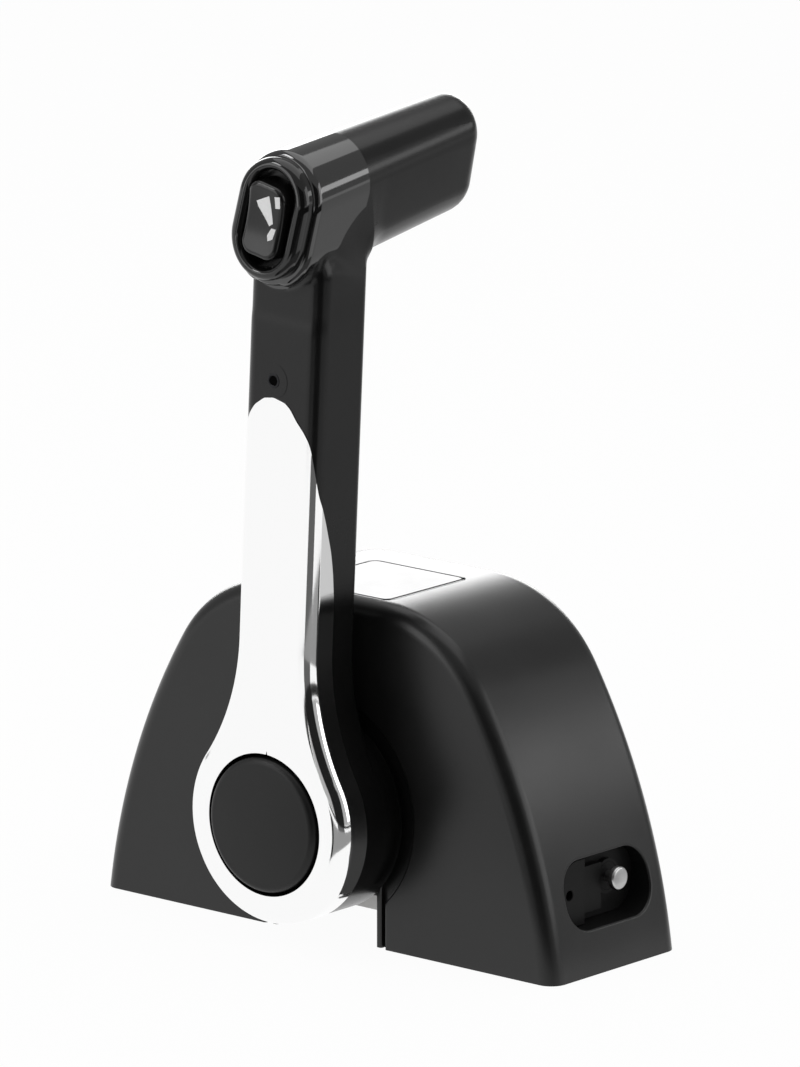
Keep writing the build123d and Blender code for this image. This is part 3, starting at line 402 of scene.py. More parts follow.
def tool_marks():
    """Machined or cast metal: lines along one direction and pits, with darker metal in the hollows."""
    tree, come, go = group("Tool marks",
                           (("Colour", C, (0.5, 0.5, 0.5, 1)), ("Roughness", F, 0.3), ("Lines", F, 0.5),
                            ("Pits", F, 0.2)),
                           (("Colour", C), ("Roughness", F), ("Normal", V)))
    place = add(tree, "ShaderNodeTexCoord").outputs["Object"]
    stretch = add(tree, "ShaderNodeMapping", {"Vector": place}, Scale=(60, 900, 900))
    lines = maths(tree, "MULTIPLY", noise(tree, stretch, 1.0, 4.0), come.outputs["Lines"])
    both = maths(tree, "MULTIPLY_ADD", noise(tree, place, 700.0, 3.0), come.outputs["Pits"], lines)
    tone = add(tree, "ShaderNodeMapRange", {"Value": both}, To_Min=0.8, To_Max=1.15)
    tint = add(tree, "ShaderNodeVectorMath", {0: come.outputs["Colour"], "Scale": tone}, operation="SCALE")
    sheen = maths(tree, "MULTIPLY_ADD", both, 0.15, come.outputs["Roughness"])
    bump = add(tree, "ShaderNodeBump", {"Height": both}, Strength=0.35, Distance=0.00008)
    give(tree, go, Colour=tint, Roughness=sheen, Normal=bump)
    return tree


def shared(maker, name):
    return bpy.data.node_groups.get(name) or maker()


def finish(name, effect, values, **sockets):
    """Material with one Principled shader: the effect's outputs feed the sockets of the same purpose."""
    if name in bpy.data.materials:
        return bpy.data.materials[name]
    material = bpy.data.materials.new(name)
    material.use_nodes = True
    tree = material.node_tree
    shader = tree.nodes["Principled BSDF"]
    for key, value in sockets.items():
        shader.inputs[key.replace("_", " ")].default_value = value
    node = tree.nodes.new("ShaderNodeGroup")
    node.node_tree = effect
    for key, value in values.items():
        node.inputs[key].default_value = value
    for source, target in (("Colour", "Base Color"), ("Roughness", "Roughness"), ("Normal", "Normal")):
        if source in node.outputs:
            tree.links.new(node.outputs[source], shader.inputs[target])
    return material


def moulding(name, tint, roughness, grain, specular=0.5, scale=900.0, mottle=0.2):
    return finish(name, shared(moulded_skin, "Moulded skin"),
                  {"Colour": tint, "Roughness": roughness, "Grain": grain, "Scale": scale, "Mottle": mottle},
                  Specular_IOR_Level=specular)


def polished(name, tint, roughness, smears, ripple, specular=0.5, metallic=0.0):
    return finish(name, shared(handled_gloss, "Handled gloss"),
                  {"Roughness": roughness, "Smears": smears, "Ripple": ripple},
                  Base_Color=tint, Specular_IOR_Level=specular, Metallic=metallic)


def metal(name, tint, roughness, lines, pits):
    return finish(name, shared(tool_marks, "Tool marks"),
                  {"Colour": tint, "Roughness": roughness, "Lines": lines, "Pits": pits}, Metallic=1.0)


# label: its maker, its colour among the finishes, and the maker's own values
MATERIALS = {
    "Satin cover plastic": (moulding, "dome", 0.3, 0.22, 0.42),
    "Satin arm plastic": (moulding, "arm", 0.25, 0.12, 0.32),
    "Soft button plastic": (moulding, "button", 0.42, 0.3, 0.3, 1100.0),
    "Switch plastic": (moulding, "switch", 0.45, 0.2, 0.12),
    "Socket shadow": (moulding, "socket", 0.8, 0.3, 0.03),
    "Natural acetal": (moulding, "acetal", 0.4, 0.1, 0.5, 500.0, 0.05),
    "Pressed pad": (moulding, "pad", 0.85, 0.8, 0.5, 700.0, 0.5),
    "White print": (moulding, "mark", 0.35, 0.05),
    "Gloss black plastic": (polished, "gloss", 0.06, 0.04, 0.03, 1.0),
    "Bezel plastic": (polished, "gloss", 0.05, 0.03, 0.03),
    "Rocker plastic": (polished, "gloss", 0.16, 0.08, 0.05, 0.4),
    "Bright chrome plate": (polished, "chrome", 0.05, 0.05, 0.02, 0.5, 1.0),
    "Machined steel": (metal, "steel", 0.28, 0.6, 0.2),
    "Blackened steel": (metal, "dark_steel", 0.35, 0.4, 0.3),
    "Cast alloy": (metal, "alloy", 0.5, 0.1, 0.8),
}


def material_of(label):
    maker, tint, *values = MATERIALS[label]
    return maker(label, getattr(bpy.context.scene.finishes, tint), *values)


# ---------------------------------------------------------------- lever and grip

def neck_path(grow, steps=(44, 30)):
    """Right half of the outline from the foot of the hub to where the arm runs straight, with outward normals:
    an arc about the hub's axis, then the hollow arc of the neck about a point beside the arm."""
    s = bpy.context.scene.lever_sizes
    hub, half, hollow = s.hub + grow, s.half_width + grow, s.neck
    side = half + hollow
    lift = np.sqrt((hub + hollow) ** 2 - side ** 2)
    meeting = np.arctan2(lift, side)
    round_hub = np.linspace(-np.pi / 2, meeting, steps[0])[:, None]
    round_neck = np.linspace(meeting, 0, steps[1])[1:, None]
    hub_normal = np.concatenate((np.cos(round_hub), np.sin(round_hub)), -1)
    neck_normal = np.concatenate((np.cos(round_neck), np.sin(round_neck)), -1)
    points = np.concatenate((hub * hub_normal, np.array((side, lift)) - hollow * neck_normal))
    return points, np.concatenate((hub_normal, neck_normal)), lift


def inner_path(points, top):
    """Inner partner of each outline point: straight in on the well's rim while the outline is round, then on round
    the rim and up the arm's middle line as the neck climbs."""
    well = bpy.context.scene.lever_sizes.well
    reach = np.hypot(points[:, 0], points[:, 1])
    on_hub = reach < reach.min() + 1e-6
    start = points[on_hub][-1]
    meeting = np.arctan2(start[1], start[0])
    arc = well * (np.pi / 2 - meeting)
    run = np.clip((points[:, 1] - start[1]) / (top - start[1]), 0, 1) * (arc + top - well)
    angle = np.where(on_hub, np.arctan2(points[:, 1], points[:, 0]), meeting + np.minimum(run, arc) / well)
    return np.stack((well * np.cos(angle), well * np.sin(angle) + np.maximum(run - arc, 0)), -1)


def edge_section(depth, front, back, front_edge, back_edge):
    """Section across the outline: offset from it, inwards negative, and height. Front flat, front edge, side,
    back edge and back flat, with a few points along the flats."""
    gap = 0.0006
    section = rounded([(-depth, front), (0, front), (0, back), (-depth, back)], (front_edge, back_edge), steps=9)
    near = np.linspace(-depth, -front_edge - gap, 7)[1:-1]
    far = np.linspace(-back_edge - gap, -depth, 7)[1:-1]
    return np.concatenate((section[:1], np.stack((near, 0 * near + front), -1), section[1:-1],
                           np.stack((far, 0 * far + back), -1), section[-1:]))


def swept_half(points, normals, inner, section, depth, hold):
    """Half of a blade: each section point lies at its offset from the outline where that is near it, and on the flats
    runs evenly on to the inner partner."""
    offset, height = section[:, 0], section[:, 1]
    near = points[:, None] + normals[:, None] * np.maximum(offset, -hold)[:, None]
    far = np.clip((-offset - hold) / (depth - hold), 0, 1)[:, None]
    flat = near + (inner[:, None] - near) * far
    return flat[..., 0], flat[..., 1], height + 0 * flat[..., 0]


def grip_section(w):
    """Middle, half straight and radius of the grip's oval at a height outboard."""
    g = bpy.context.scene.grip_sizes
    t = (g.head_front - w) / (g.head_front + g.end)
    radius = (g.near_width + (g.far_width - g.near_width) * t) / 2
    depth = (g.near_depth + (g.far_depth - g.near_depth) * t) / 2
    return g.height + g.rise * t, depth - radius, radius


def leaning(across, along, middle):
    """Aft and up-lever places of points given across and along the grip's leaning oval."""
    c, s = np.cos(bpy.context.scene.grip_sizes.tilt), np.sin(bpy.context.scene.grip_sizes.tilt)
    return across * c + along * s, middle - across * s + along * c


def oval_angles(steps):
    """Angles once round an oval, doubled at its straight flanks, and the sign of the half that each lies on."""
    half_turn = np.linspace(0, np.pi, steps)
    angle = np.concatenate((half_turn, half_turn + np.pi, [2 * np.pi]))
    return angle, np.concatenate((np.ones(steps), -np.ones(steps), [1]))


def lever_form(u, v, w):
    """Distance to the arm and grip moulded as one: rounded blade and tapering oval, melted together."""
    s, g = bpy.context.scene.lever_sizes, bpy.context.scene.grip_sizes
    top_corner, step_run, crisp_from, crisp_run = 0.013, 0.006, 0.036, 0.007
    blade = corner_box(u, v - s.top / 2, s.half_width, s.top / 2, top_corner)
    step = (1 - np.cos(np.pi * np.clip((v - s.shoulder) / step_run + 0.5, 0, 1))) / 2
    front = s.front + (s.neck_front - s.front) * step
    blade = np.maximum(meet(blade, w - front, s.edge), meet(blade, s.back - w, s.back_edge))
    middle, half, radius = grip_section(w)
    across = u * np.cos(g.tilt) - (v - middle) * np.sin(g.tilt)
    along = u * np.sin(g.tilt) + (v - middle) * np.cos(g.tilt)
    flank = np.hypot(across, along - np.clip(along, -half, half)) - radius
    oval = np.maximum(meet(flank, -g.end - w, g.end_edge), meet(flank, w - g.head_front, g.head_edge))
    crisp = np.clip((w - crisp_from) / crisp_run, 0, 1)
    return melt(blade, oval, g.blend * (1 - 0.75 * crisp))


def skin_rays(section, foot):
    """Rays that find the skin of arm and grip: fans across a line up the arm, round the corner and along the grip,
    closed by rays that turn towards the far end. Their spread is that of the arm's own section."""
    s, g = bpy.context.scene.lever_sizes, bpy.context.scene.grip_sizes
    middle = (s.front + s.back) / 2
    straight_end, bend_start, bend_end, tip_start = s.top - 0.045, s.top - 0.024, 0.034, 0.019 - g.end
    spread = section - np.array((0, middle))
    spread /= np.linalg.norm(spread, axis=1)[:, None]
    arm = np.concatenate((np.linspace(foot, straight_end, 26), np.linspace(straight_end + MM, bend_start, 16)))
    turn = np.linspace(0, 1, 64)[1:]
    bend_v = bend_start + (grip_section(bend_end)[0] - bend_start) * np.sin(turn * np.pi / 2)
    bend_w = middle + (bend_end - middle) * (1 - np.cos(turn * np.pi / 2))
    along = np.linspace(bend_end, tip_start, 44)[1:]
    v = np.concatenate((arm, bend_v, grip_section(along)[0]))
    w = np.concatenate((np.full(len(arm), middle), bend_w, along))
    tip = np.linspace(0, np.pi / 2, 30)[1:]
    v, w = np.concatenate((v, np.full(len(tip), v[-1]))), np.concatenate((w, np.full(len(tip), w[-1])))
    lean = np.concatenate((np.zeros(len(arm)), turn * np.pi / 2, np.full(len(along) + len(tip), np.pi / 2)))
    close = np.concatenate((np.zeros(len(lean) - len(tip)), tip))
    origins = np.stack(np.broadcast_arrays(0.0, v[:, None], w[:, None] + 0 * spread[:, 0]), -1)
    out = spread[:, 1]
    directions = np.stack((np.cos(close)[:, None] * spread[:, 0],
                           np.sin(lean)[:, None] * out * np.cos(close)[:, None],
                           np.cos(lean)[:, None] * out * np.cos(close)[:, None] - np.sin(close)[:, None]), -1)
    return origins, directions


class LEVER_OT_arm(Operator):
    """Arm, hub and grip in one moulding"""
    bl_idname = "lever.arm"
    bl_label = "Arm and grip"

    def execute(self, context):
        s = context.scene.lever_sizes
        section = edge_section(s.half_width, s.front, s.back, s.edge, s.back_edge)
        points, normals, foot = neck_path(0)
        u, v, w = swept_half(points, normals, inner_path(points, foot), section, s.half_width, s.edge + 0.0004)
        loop = section + np.array((s.half_width, 0))
        loop = np.concatenate((loop, (loop * (-1, 1))[-2:0:-1], loop[:1]))
        found = cast(lever_form, *skin_rays(loop, foot), 0.06)
        boss_front, well_radius = s.back + 0.0029, s.well + 0.0001
        boss = rounded([(0, s.hub_back), (s.hub, s.hub_back), (s.hub, boss_front), (0, boss_front)], (0.001, 0.0001))
        well = rounded([(well_radius, s.front), (s.well, s.front - 0.001), (s.well, s.well_floor), (0, s.well_floor)],
                       (0.0002, 0.0008))
        skin = lever(*np.moveaxis(found, -1, 0))
        surfaces = (lever(u, v, w), lever(-u, v, w), skin, turned(boss, lever), turned(well, lever))
        piece("lever_moulding", surfaces, "lever", "Satin arm plastic", ("arm_moulding",))
        return {"FINISHED"}


# distance from the arm's middle line, aft positive and measured round the front edge, and height of the trim's
# border there, in millimetres
TRIM_TOP = ((-26.7, 75), (-26.1, 86.2), (-24.3, 96.2), (-21.1, 106.7), (-18, 116.2), (-16.2, 130.2), (-15.4, 135),
            (-13.2, 139.6), (-10.5, 143.6), (-6.6, 146.5), (-2.5, 147.3), (2.6, 146.3), (5, 144.6), (7.7, 141.2),
            (11.4, 137.6), (13.2, 135), (14.4, 131.5), (15.5, 125.6), (17.5, 116.2), (19.6, 111), (21.1, 106.7),
            (24.3, 96.2), (26.1, 86.2), (26.7, 75))


def trim_top(across):
    """Height of the trim's border above each distance across it from its middle line, aft positive, measured round
    the front edge: straight runs between the border's points, averaged over a few millimetres."""
    at, height = np.array(TRIM_TOP).T * MM
    reach, window = 0.0011, np.linspace(-1, 1, 15)
    weight = np.cos(window * np.pi / 2) ** 2
    return np.interp(across[:, None] + window * reach, at, height) @ weight / weight.sum()


def trim_half(side, points, normals, inner, foot):
    """Half of the bright trim: from the well or the middle line over the front edge and down the side. Above the
    neck its columns run up to the border."""
    s = bpy.context.scene.lever_sizes
    half, front, edge = s.half_width + s.trim_proud, s.front + s.trim_proud, s.edge + s.trim_proud
    flat, hold, top = half - edge, 0.0003, foot + 0.010
    arc, drop = edge * np.pi / 2, front - edge - s.trim_back
    across = np.concatenate((np.linspace(0, flat - hold, 20), flat + arc * np.linspace(0, 1, 21),
                             flat + arc + np.linspace(hold, drop, 14)))
    down = np.clip(across - flat - arc, 0, drop)
    turn = np.clip((across - flat) / arc, 0, 1) * np.pi / 2
    low = np.linspace(foot, top, 8)[1:, None] + 0 * across
    high = top + np.linspace(0, 1, 70)[1:, None] * (trim_top(side * across) - top)
    v_arm = np.concatenate((low, high))
    u_arm = np.minimum(across, flat) + edge * np.sin(turn) + 0 * v_arm
    height = front - edge * (1 - np.cos(turn)) - down
    reach = np.linspace(0, 1, 20)[:, None] * (1 - hold / flat)
    first = points - normals * edge
    hub = []
    for axis in (0, 1):
        inward = inner[:, axis] + (first[:, axis] - inner[:, axis]) * reach
        bent = first[:, axis] + normals[:, axis] * edge * np.sin(turn[20:, None])
        hub.append(np.concatenate((inward, bent)).T)
    u = np.concatenate((hub[0], u_arm)) * side
    v = np.concatenate((hub[1], v_arm))
    return lever(u, v, height + 0 * u)


class LEVER_OT_trim(Operator):
    """Bright teardrop trim over the hub and arm"""
    bl_idname = "lever.trim"
    bl_label = "Bright trim"

    def execute(self, context):
        s = context.scene.lever_sizes
        points, normals, foot = neck_path(s.trim_proud, (60, 40))
        inner = inner_path(points, foot)
        halves = [trim_half(side, points, normals, inner, foot) for side in (1, -1)]
        piece("bright_trim", halves, "lever", "Bright chrome plate", ("chrome_trim",),
              wall=0.0012, bevel=0.00035)
        return {"FINISHED"}


BUTTON_WALL, BUTTON_DEPTH, BUTTON_DISC = 0.0022, 0.014, 0.0042


class LEVER_OT_button(Operator):
    """Hub button with its crowned face"""
    bl_idname = "lever.button"
    bl_label = "Hub button"

    def execute(self, context):
        s = context.scene.lever_sizes
        crown = np.linspace(0, s.button - 0.0026, 16)
        face = np.stack((crown, s.button_front - 0.0009 * (crown / s.button) ** 2), -1)
        inner, back, disc = s.button - BUTTON_WALL, s.button_front - BUTTON_DEPTH, s.button_front - BUTTON_DISC
        rim = rounded([face[-1], (s.button, face[-1, 1] - 0.00006), (s.button, back), (inner, back), (inner, disc),
                       (0, disc)], (0.0023, 0.0005, 0.0005, 0.0003), steps=12)
        piece("palm_button", [turned(np.concatenate((face, rim[1:])), lever, steps=128)], "hub_button",
              "Soft button plastic", ("throttle_button",))
        return {"FINISHED"}


class LEVER_OT_spring(Operator):
    """Coil spring under the hub button, built at its length with the button out"""
    bl_idname = "lever.spring"
    bl_label = "Button spring"

    def execute(self, context):
        s = context.scene.lever_sizes
        wire, coil, turns, gap = 0.0008, 0.017, 4, 0.0001
        foot, top = s.well_floor + wire + gap, s.button_front - BUTTON_DISC - wire - gap
        along = np.linspace(0, 1, 145)[:, None]
        round_wire = np.linspace(0, 2 * np.pi, 13)
        thick = np.where((along == 0) | (along == 1), 0, wire)
        turn = 2 * np.pi * turns * along
        radius = coil + thick * np.cos(round_wire)
        height = foot + (top - foot) * along + thick * np.sin(round_wire)
        made = piece("return_spring", [lever(radius * np.cos(turn), radius * np.sin(turn), height)], "lever",
                     "Machined steel", ("button_spring",))
        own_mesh(made)
        return {"FINISHED"}


# height above the grip's middle, and how far outboard the seam of the head lies there, in millimetres
HEAD_SEAM = ((-22, 66.9), (-21.4, 62.5), (-20.2, 56), (-17.5, 49.8), (-13, 45), (-6, 42), (-1, 41.1), (60, 41))


class LEVER_OT_head(Operator):
    """Polished head of the grip, from its near face over the rounded edge to its curved seam"""
    bl_idname = "lever.head"
    bl_label = "Grip head"

    def execute(self, context):
        g = context.scene.grip_sizes
        skin, lap = 0.00025, (-0.006, -0.0045)
        angle, sign = oval_angles(72)
        drop = -(g.near_width / 2 * np.sin(angle) + sign * (g.near_depth - g.near_width) / 2) * np.cos(g.tilt)
        drop = drop + g.near_width / 2 * np.cos(angle) * np.sin(g.tilt)
        seam = np.interp(-drop, *(np.array(HEAD_SEAM).T * MM))
        bend = np.linspace(0, np.pi / 2, 9)
        share = np.linspace(0, 1, 41)[1:, None]
        offset = np.concatenate((lap, -g.head_edge * (1 - np.sin(bend)), np.zeros(len(share))))[:, None]
        front = g.head_front + skin
        near = np.concatenate(((front, front), front - g.head_edge * (1 - np.cos(bend))))[:, None]
        near = np.maximum(near, seam)
        w = np.concatenate((near, near[-1:] + (np.minimum(seam, near[-1:]) - near[-1:]) * share))
        middle, half, radius = grip_section(w)
        reach = radius + skin + offset
        u, v = leaning(reach * np.cos(angle), reach * np.sin(angle) + sign * half, middle)
        w = w + lower_lip(v) * np.clip((w - seam) / (front - seam + 1e-6), 0, 1)
        piece("polished_head", [lever(u, v, w)], "lever", "Gloss black plastic", ("grip_head",),
              wall=0.0012, bevel=0.0003)
        return {"FINISHED"}


def lower_lip(v):
    """How much farther outboard the near face stands towards its lower end than at its top."""
    g = bpy.context.scene.grip_sizes
    return g.lip * np.clip((g.switch_height + g.bezel_depth / 2 - v) / g.bezel_depth, 0, 1)


def oval_ring(profile, width, depth, middle, inset, stretch, steps=40):
    """Profile of (offset, height) carried round an upright leaning oval: each point lies at its offset along the
    outline's normal, or on the oval's middle line where the offset is deeper than its radius. From the outline to
    the inset the straight flanks grow longer by the stretch at either end."""
    radius, half = width / 2, (depth - width) / 2
    angle, sign = (values[:, None] for values in oval_angles(steps))
    reach = np.maximum(radius + profile[:, 0], 0)
    half = half + stretch * np.clip(-profile[:, 0] / inset, 0, 1)
    u, v = leaning(reach * np.cos(angle), reach * np.sin(angle) + sign * half, middle)
    return lever(u, v, profile[:, 1] + lower_lip(v))


class LEVER_OT_switch(Operator):
    """Bezel, switch well and rocker in the grip's near end"""
    bl_idname = "lever.switch"
    bl_label = "Trim switch"

    def execute(self, context):
        g = context.scene.grip_sizes
        gap, well, skirt = 0.0016, 0.015, 0.003
        inset = (g.bezel_width - g.rocker_width) / 2 - gap
        front = g.bezel_front
        profile = rounded([(0, g.head_front - skirt), (0, front), (-inset, front - 0.0004), (-inset, front - well),
                           (-g.bezel_width / 2, front - well)], (0.0031, 0.0023, 0.0006), steps=12)
        ring = oval_ring(profile, g.bezel_width, g.bezel_depth, g.switch_height, inset, gap)
        piece("bezel_ring", [ring], "lever", "Bezel plastic", ("switch_bezel",))
        rocker_cap()
        print_marks()
        return {"FINISHED"}


def rocker_cap():
    """Saddle-backed rocker: rounded rectangle whose face dips in the middle and lifts towards both ends."""
    g = bpy.context.scene.grip_sizes
    corner = 0.0048
    edge, normal = outline(lambda x, y: corner_box(x, y, g.rocker_width / 2, g.rocker_length / 2, corner),
                           circle(161), 0.02)
    profile = rounded([(-0.004, 0), (0, 0), (0.0006, -0.012)], (0.0019,), steps=9)
    ring = edge[:, None] + normal[:, None] * profile[:, 0][:, None]
    share = np.linspace(0, 1, 12)[:-1]
    grid = np.concatenate((ring[:, :1] * share[None, :, None], ring), 1)
    height = np.concatenate((0 * share, profile[:, 1])) + g.rocker_front + saddle(grid[..., 0], grid[..., 1])
    u, v = leaning(grid[..., 0], grid[..., 1], g.switch_height)
    piece("rocker_cap", [lever(u, v, height)], "rocker", "Rocker plastic", ("trim_rocker",))


MARKS = {
    "arrow": ((-3.7, 5.9), (-2.8, 4.1), (0.1, 4.3), (2.9, -1), (4.3, 0.3), (1.6, 9.3)),
    "wedge": ((3.9, -1.4), (6, -1.1), (5.3, -4.8), (3.4, -6.1), (2.7, -4.2)),
    "tick": ((4, 9.8), (6.5, 10.6), (6.8, 6.5), (4.7, 5.9)),
}


def saddle(x, y):
    """Height of the rocker's face from its front plane at a place across and along it."""
    g = bpy.context.scene.grip_sizes
    along, across = np.abs(y) / (g.rocker_length / 2), x / (g.rocker_width / 2)
    lift, crown = 0.0016, 0.0004
    return lift * (np.clip(along, 0, 1) ** 2 - 0.9) + crown * across ** 2


def print_marks():
    """Plain white wedges printed on the rocker, laid over its saddle as a thin film."""
    g = bpy.context.scene.grip_sizes
    film = 0.00004
    work = bmesh.new()
    for corners in MARKS.values():
        work.faces.new([work.verts.new((x * MM, y * MM, 0)) for x, y in corners])
    bmesh.ops.triangulate(work, faces=work.faces)
    bmesh.ops.subdivide_edges(work, edges=work.edges, cuts=7, use_grid_fill=True)
    mesh = bpy.data.meshes.new("rocker_print")
    work.to_mesh(mesh)
    work.free()
    spot = np.array([vertex.co for vertex in mesh.vertices])
    u, v = leaning(spot[:, 0], spot[:, 1], g.switch_height)
    placed = lever(u, v, g.rocker_front + saddle(spot[:, 0], spot[:, 1]) + film)
    mesh.vertices.foreach_set("co", placed.astype(np.float32).ravel())
    mesh.materials.append(material_of("White print"))
    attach(added("rocker_print", mesh), "rocker")


class LEVER_OT_screw(Operator):
    """Socket screw in its round flat on the arm, with a near-black disc of painted shade in its socket"""
    bl_idname = "lever.screw"
    bl_label = "Arm screw"

    def execute(self, context):
        front, at = context.scene.lever_sizes.front, (-0.0029, 0.153)
        skin, proud, socket_depth = 0.00012, 0.0003, 0.00016
        flat_radius, head_radius, rim_radius = 0.006, 0.0026, 0.0019
        floor = front + proud - socket_depth
        flat = turned(rounded([(0, front + skin), (flat_radius, front + skin), (flat_radius, front - 0.0004)],
                              (0.0001,)), lever, at)
        head = turned(rounded([(head_radius, front), (head_radius, front + proud), (rim_radius, front + proud),
                               (rim_radius - 0.0002, floor)], (0.0002, 0.0001)), lever, at, 48)
        # the socket's floor is a flat near-black disc of painted shade in place of a deep hex socket
        angle = np.arange(7) * np.pi / 3
        rings = [lever(at[0] + radius * np.cos(angle), at[1] + radius * np.sin(angle), floor + 0 * angle)
                 for radius in (rim_radius, 0)]
        piece("screw_flat", [flat], "lever", "Satin arm plastic")
        piece("socket_screw", [head], "lever", "Blackened steel", ("arm_screw",))
        piece("screw_socket", [np.stack(rings)], "lever", "Socket shadow")
        return {"FINISHED"}


# ---------------------------------------------------------------- cover

def dome_path(steps=(14, 26, 40)):
    """Half of the cover's side outline from the deck up over the shoulder to the middle of the top, and outward
    normals: a long arc tangent to the shoulder's, the shoulder's arc and the flat."""
    s = bpy.context.scene.cover_sizes
    drop = radians(58)
    centre = np.array((s.flat, s.height - s.shoulder))
    tangent = np.array((np.sin(drop), np.cos(drop)))
    start = centre + s.shoulder * tangent
    chord = np.array((s.half_length, 0)) - start
    bend = -np.arctan2(chord[1], chord[0]) - drop
    radius = np.linalg.norm(chord) / 2 / np.sin(bend)
    middle = start - radius * tangent
    a = np.linspace(drop + 2 * bend, drop, steps[2])[:, None]
    b = np.linspace(drop, 0, steps[1])[1:, None]
    side_normal, shoulder_normal = (np.concatenate((np.sin(run), np.cos(run)), -1) for run in (a, b))
    flat = np.stack((np.linspace(s.flat, 0, steps[0])[1:], np.full(steps[0] - 1, s.height)), -1)
    points = np.concatenate((middle + radius * side_normal, centre + s.shoulder * shoulder_normal, flat))
    normals = np.concatenate((side_normal, shoulder_normal, np.tile((0.0, 1.0), (steps[0] - 1, 1))))
    return points, normals


def whole_path(inset):
    """The outline from the fore end over the top to the aft end, moved in by inset and kept above the deck."""
    points, normals = dome_path()
    points = np.concatenate((points, (points * (-1, 1))[-2::-1]))
    normals = np.concatenate((normals, (normals * (-1, 1))[-2::-1]))
    moved = points - normals * inset
    moved[:, 1] = np.maximum(moved[:, 1], 0)
    return moved, normals


def keyhole(count, grow=0.0):
    """Opening round the hub from the deck up, round and down again, at even shares of its length."""
    s, hub = bpy.context.scene.cover_sizes, bpy.context.scene.lever_sizes.hub_height
    radius, half = s.opening + grow, s.slot + grow
    low = -np.arccos(half / radius)
    foot = hub + radius * np.sin(low)
    arc = radius * (np.pi - 2 * low)
    run = np.linspace(0, 2 * foot + arc, count)
    angle = low + np.clip(run - foot, 0, arc) / radius
    y = radius * np.cos(angle)
    z = hub + radius * np.sin(angle)
    z = np.where(run < foot, run, np.where(run > foot + arc, 2 * foot + arc - run, z))
    return np.stack((y, np.maximum(z, 0)), -1)


RECESS_CORNER = 0.010


class LEVER_OT_cover(Operator):
    """Dome cover with its opening, recess and let-in panel"""
    bl_idname = "lever.cover"
    bl_label = "Cover"

    def execute(self, context):
        s = context.scene.cover_sizes
        half, edge, hold = s.width / 2, s.edge, 0.0005
        outer, _ = whole_path(0)
        count = len(outer)
        # port face: rim of the opening, then even steps out to the edge rounding
        rim = rounded([(0, s.wall), (0, 0), (0.01, 0)], (0.0009,), steps=6)[:-1]
        hole, wide = keyhole(count), keyhole(count, 0.001)
        out = (wide - hole) / np.linalg.norm(wide - hole, axis=1)[:, None]
        lip = hole[:, None] + out[:, None] * rim[:, 0][:, None]
        flat_edge, _ = whole_path(edge + hold)
        share = np.linspace(0, 1, 14)[1:, None]
        face = lip[:, -1:] + (flat_edge[:, None] - lip[:, -1:]) * share
        # edge rounding, crown and the same again to the closed starboard face
        turn = np.linspace(0, np.pi / 2, 12)
        bent = [whole_path(edge * (1 - np.sin(t)))[0] for t in turn]
        bent_x = -half + edge * (1 - np.cos(turn))
        across = np.linspace(-half + edge + hold, half - edge - hold, 31)
        yz = np.concatenate((lip, face, np.stack(bent, 1), np.repeat(outer[:, None], len(across), 1),
                             np.stack(bent[::-1], 1), flat_edge[:, None], np.zeros((count, 1, 2))), 1)
        x = np.concatenate((-half + rim[:, 1], np.full(len(share), -half), bent_x, across, -bent_x[::-1],
                            (half, half)))
        yz[..., 1] = np.maximum(yz[..., 1], 0)
        grid = np.stack(np.broadcast_arrays(x, yz[..., 0], yz[..., 1]), -1)
        keep = np.ones((count - 1, grid.shape[1] - 1), bool)
        # cells of the crown that the recess in the aft end and the panel's seat in the top take up
        first = len(rim) + len(share) + len(turn)
        columns = slice(first + 1, first + len(across) - 1)
        recess_top, seat_corner = 0.047, 0.003
        rows = np.where((grid[:, first, 1] < 0) & (grid[:, first, 2] < recess_top))[0]
        hollow = opening(grid, keep, slice(rows[0], rows[-1] - 1), columns, (s.recess_x, s.recess_z),
                         (s.recess_width / 2, s.recess_height / 2, RECESS_CORNER), recess_skin)
        seat_rows = np.where(np.abs(outer[:, 0]) < s.flat - 0.0001)[0]
        seat = opening(grid, keep, slice(seat_rows[0], seat_rows[-1]), columns, (s.panel_x, s.panel_y),
                       (s.panel / 2, s.panel / 2, seat_corner), seat_skin)
        # the cover keeps the recess down to the end of its lip, and the liner goes on to the floor
        lip_end = 11
        piece("recess_liner", [hollow[lip_end:]], "housing", "Switch plastic")
        piece("dome_cover", [(grid, keep), hollow[:lip_end + 1], seat], "housing", "Satin cover plastic",
              ("cover_shell",))
        return {"FINISHED"}


def opening(grid, keep, rows, columns, centre, box, skin):
    """Takes cells out of the cover and fills the gap with rings from its border to a rounded opening, over the
    opening's rounded lip and down its wall to a floor."""
    keep[rows, columns] = False
    top, foot, near, far = rows.start, rows.stop, columns.start, columns.stop
    border = np.concatenate((grid[top, near:far], grid[top:foot, far], grid[foot, far:near:-1],
                             grid[foot:top:-1, near], grid[top:top + 1, near]))
    flat = border[:, (0, 2)] if skin is recess_skin else border[:, (0, 1)]
    way = flat - np.array(centre)
    way /= np.linalg.norm(way, axis=1)[:, None]
    edge, normal = outline(lambda x, y: corner_box(x, y, *box), way, 0.05)
    edge = edge + np.array(centre)
    lip, flange = 0.0007, 0.0003
    beside = edge + normal * (lip + flange)
    shares, turn = np.linspace(0, 1, 6), np.linspace(0, np.pi / 2, 6)
    plan = np.stack([flat + (beside - flat) * share for share in shares]
                    + [edge + normal * lip * (1 - np.sin(t)) for t in turn])
    depth = np.concatenate((0 * shares, lip * (1 - np.cos(turn))))[:, None]
    surface, rings = skin(plan, depth, edge, way)
    return np.concatenate((surface, np.stack(rings)))


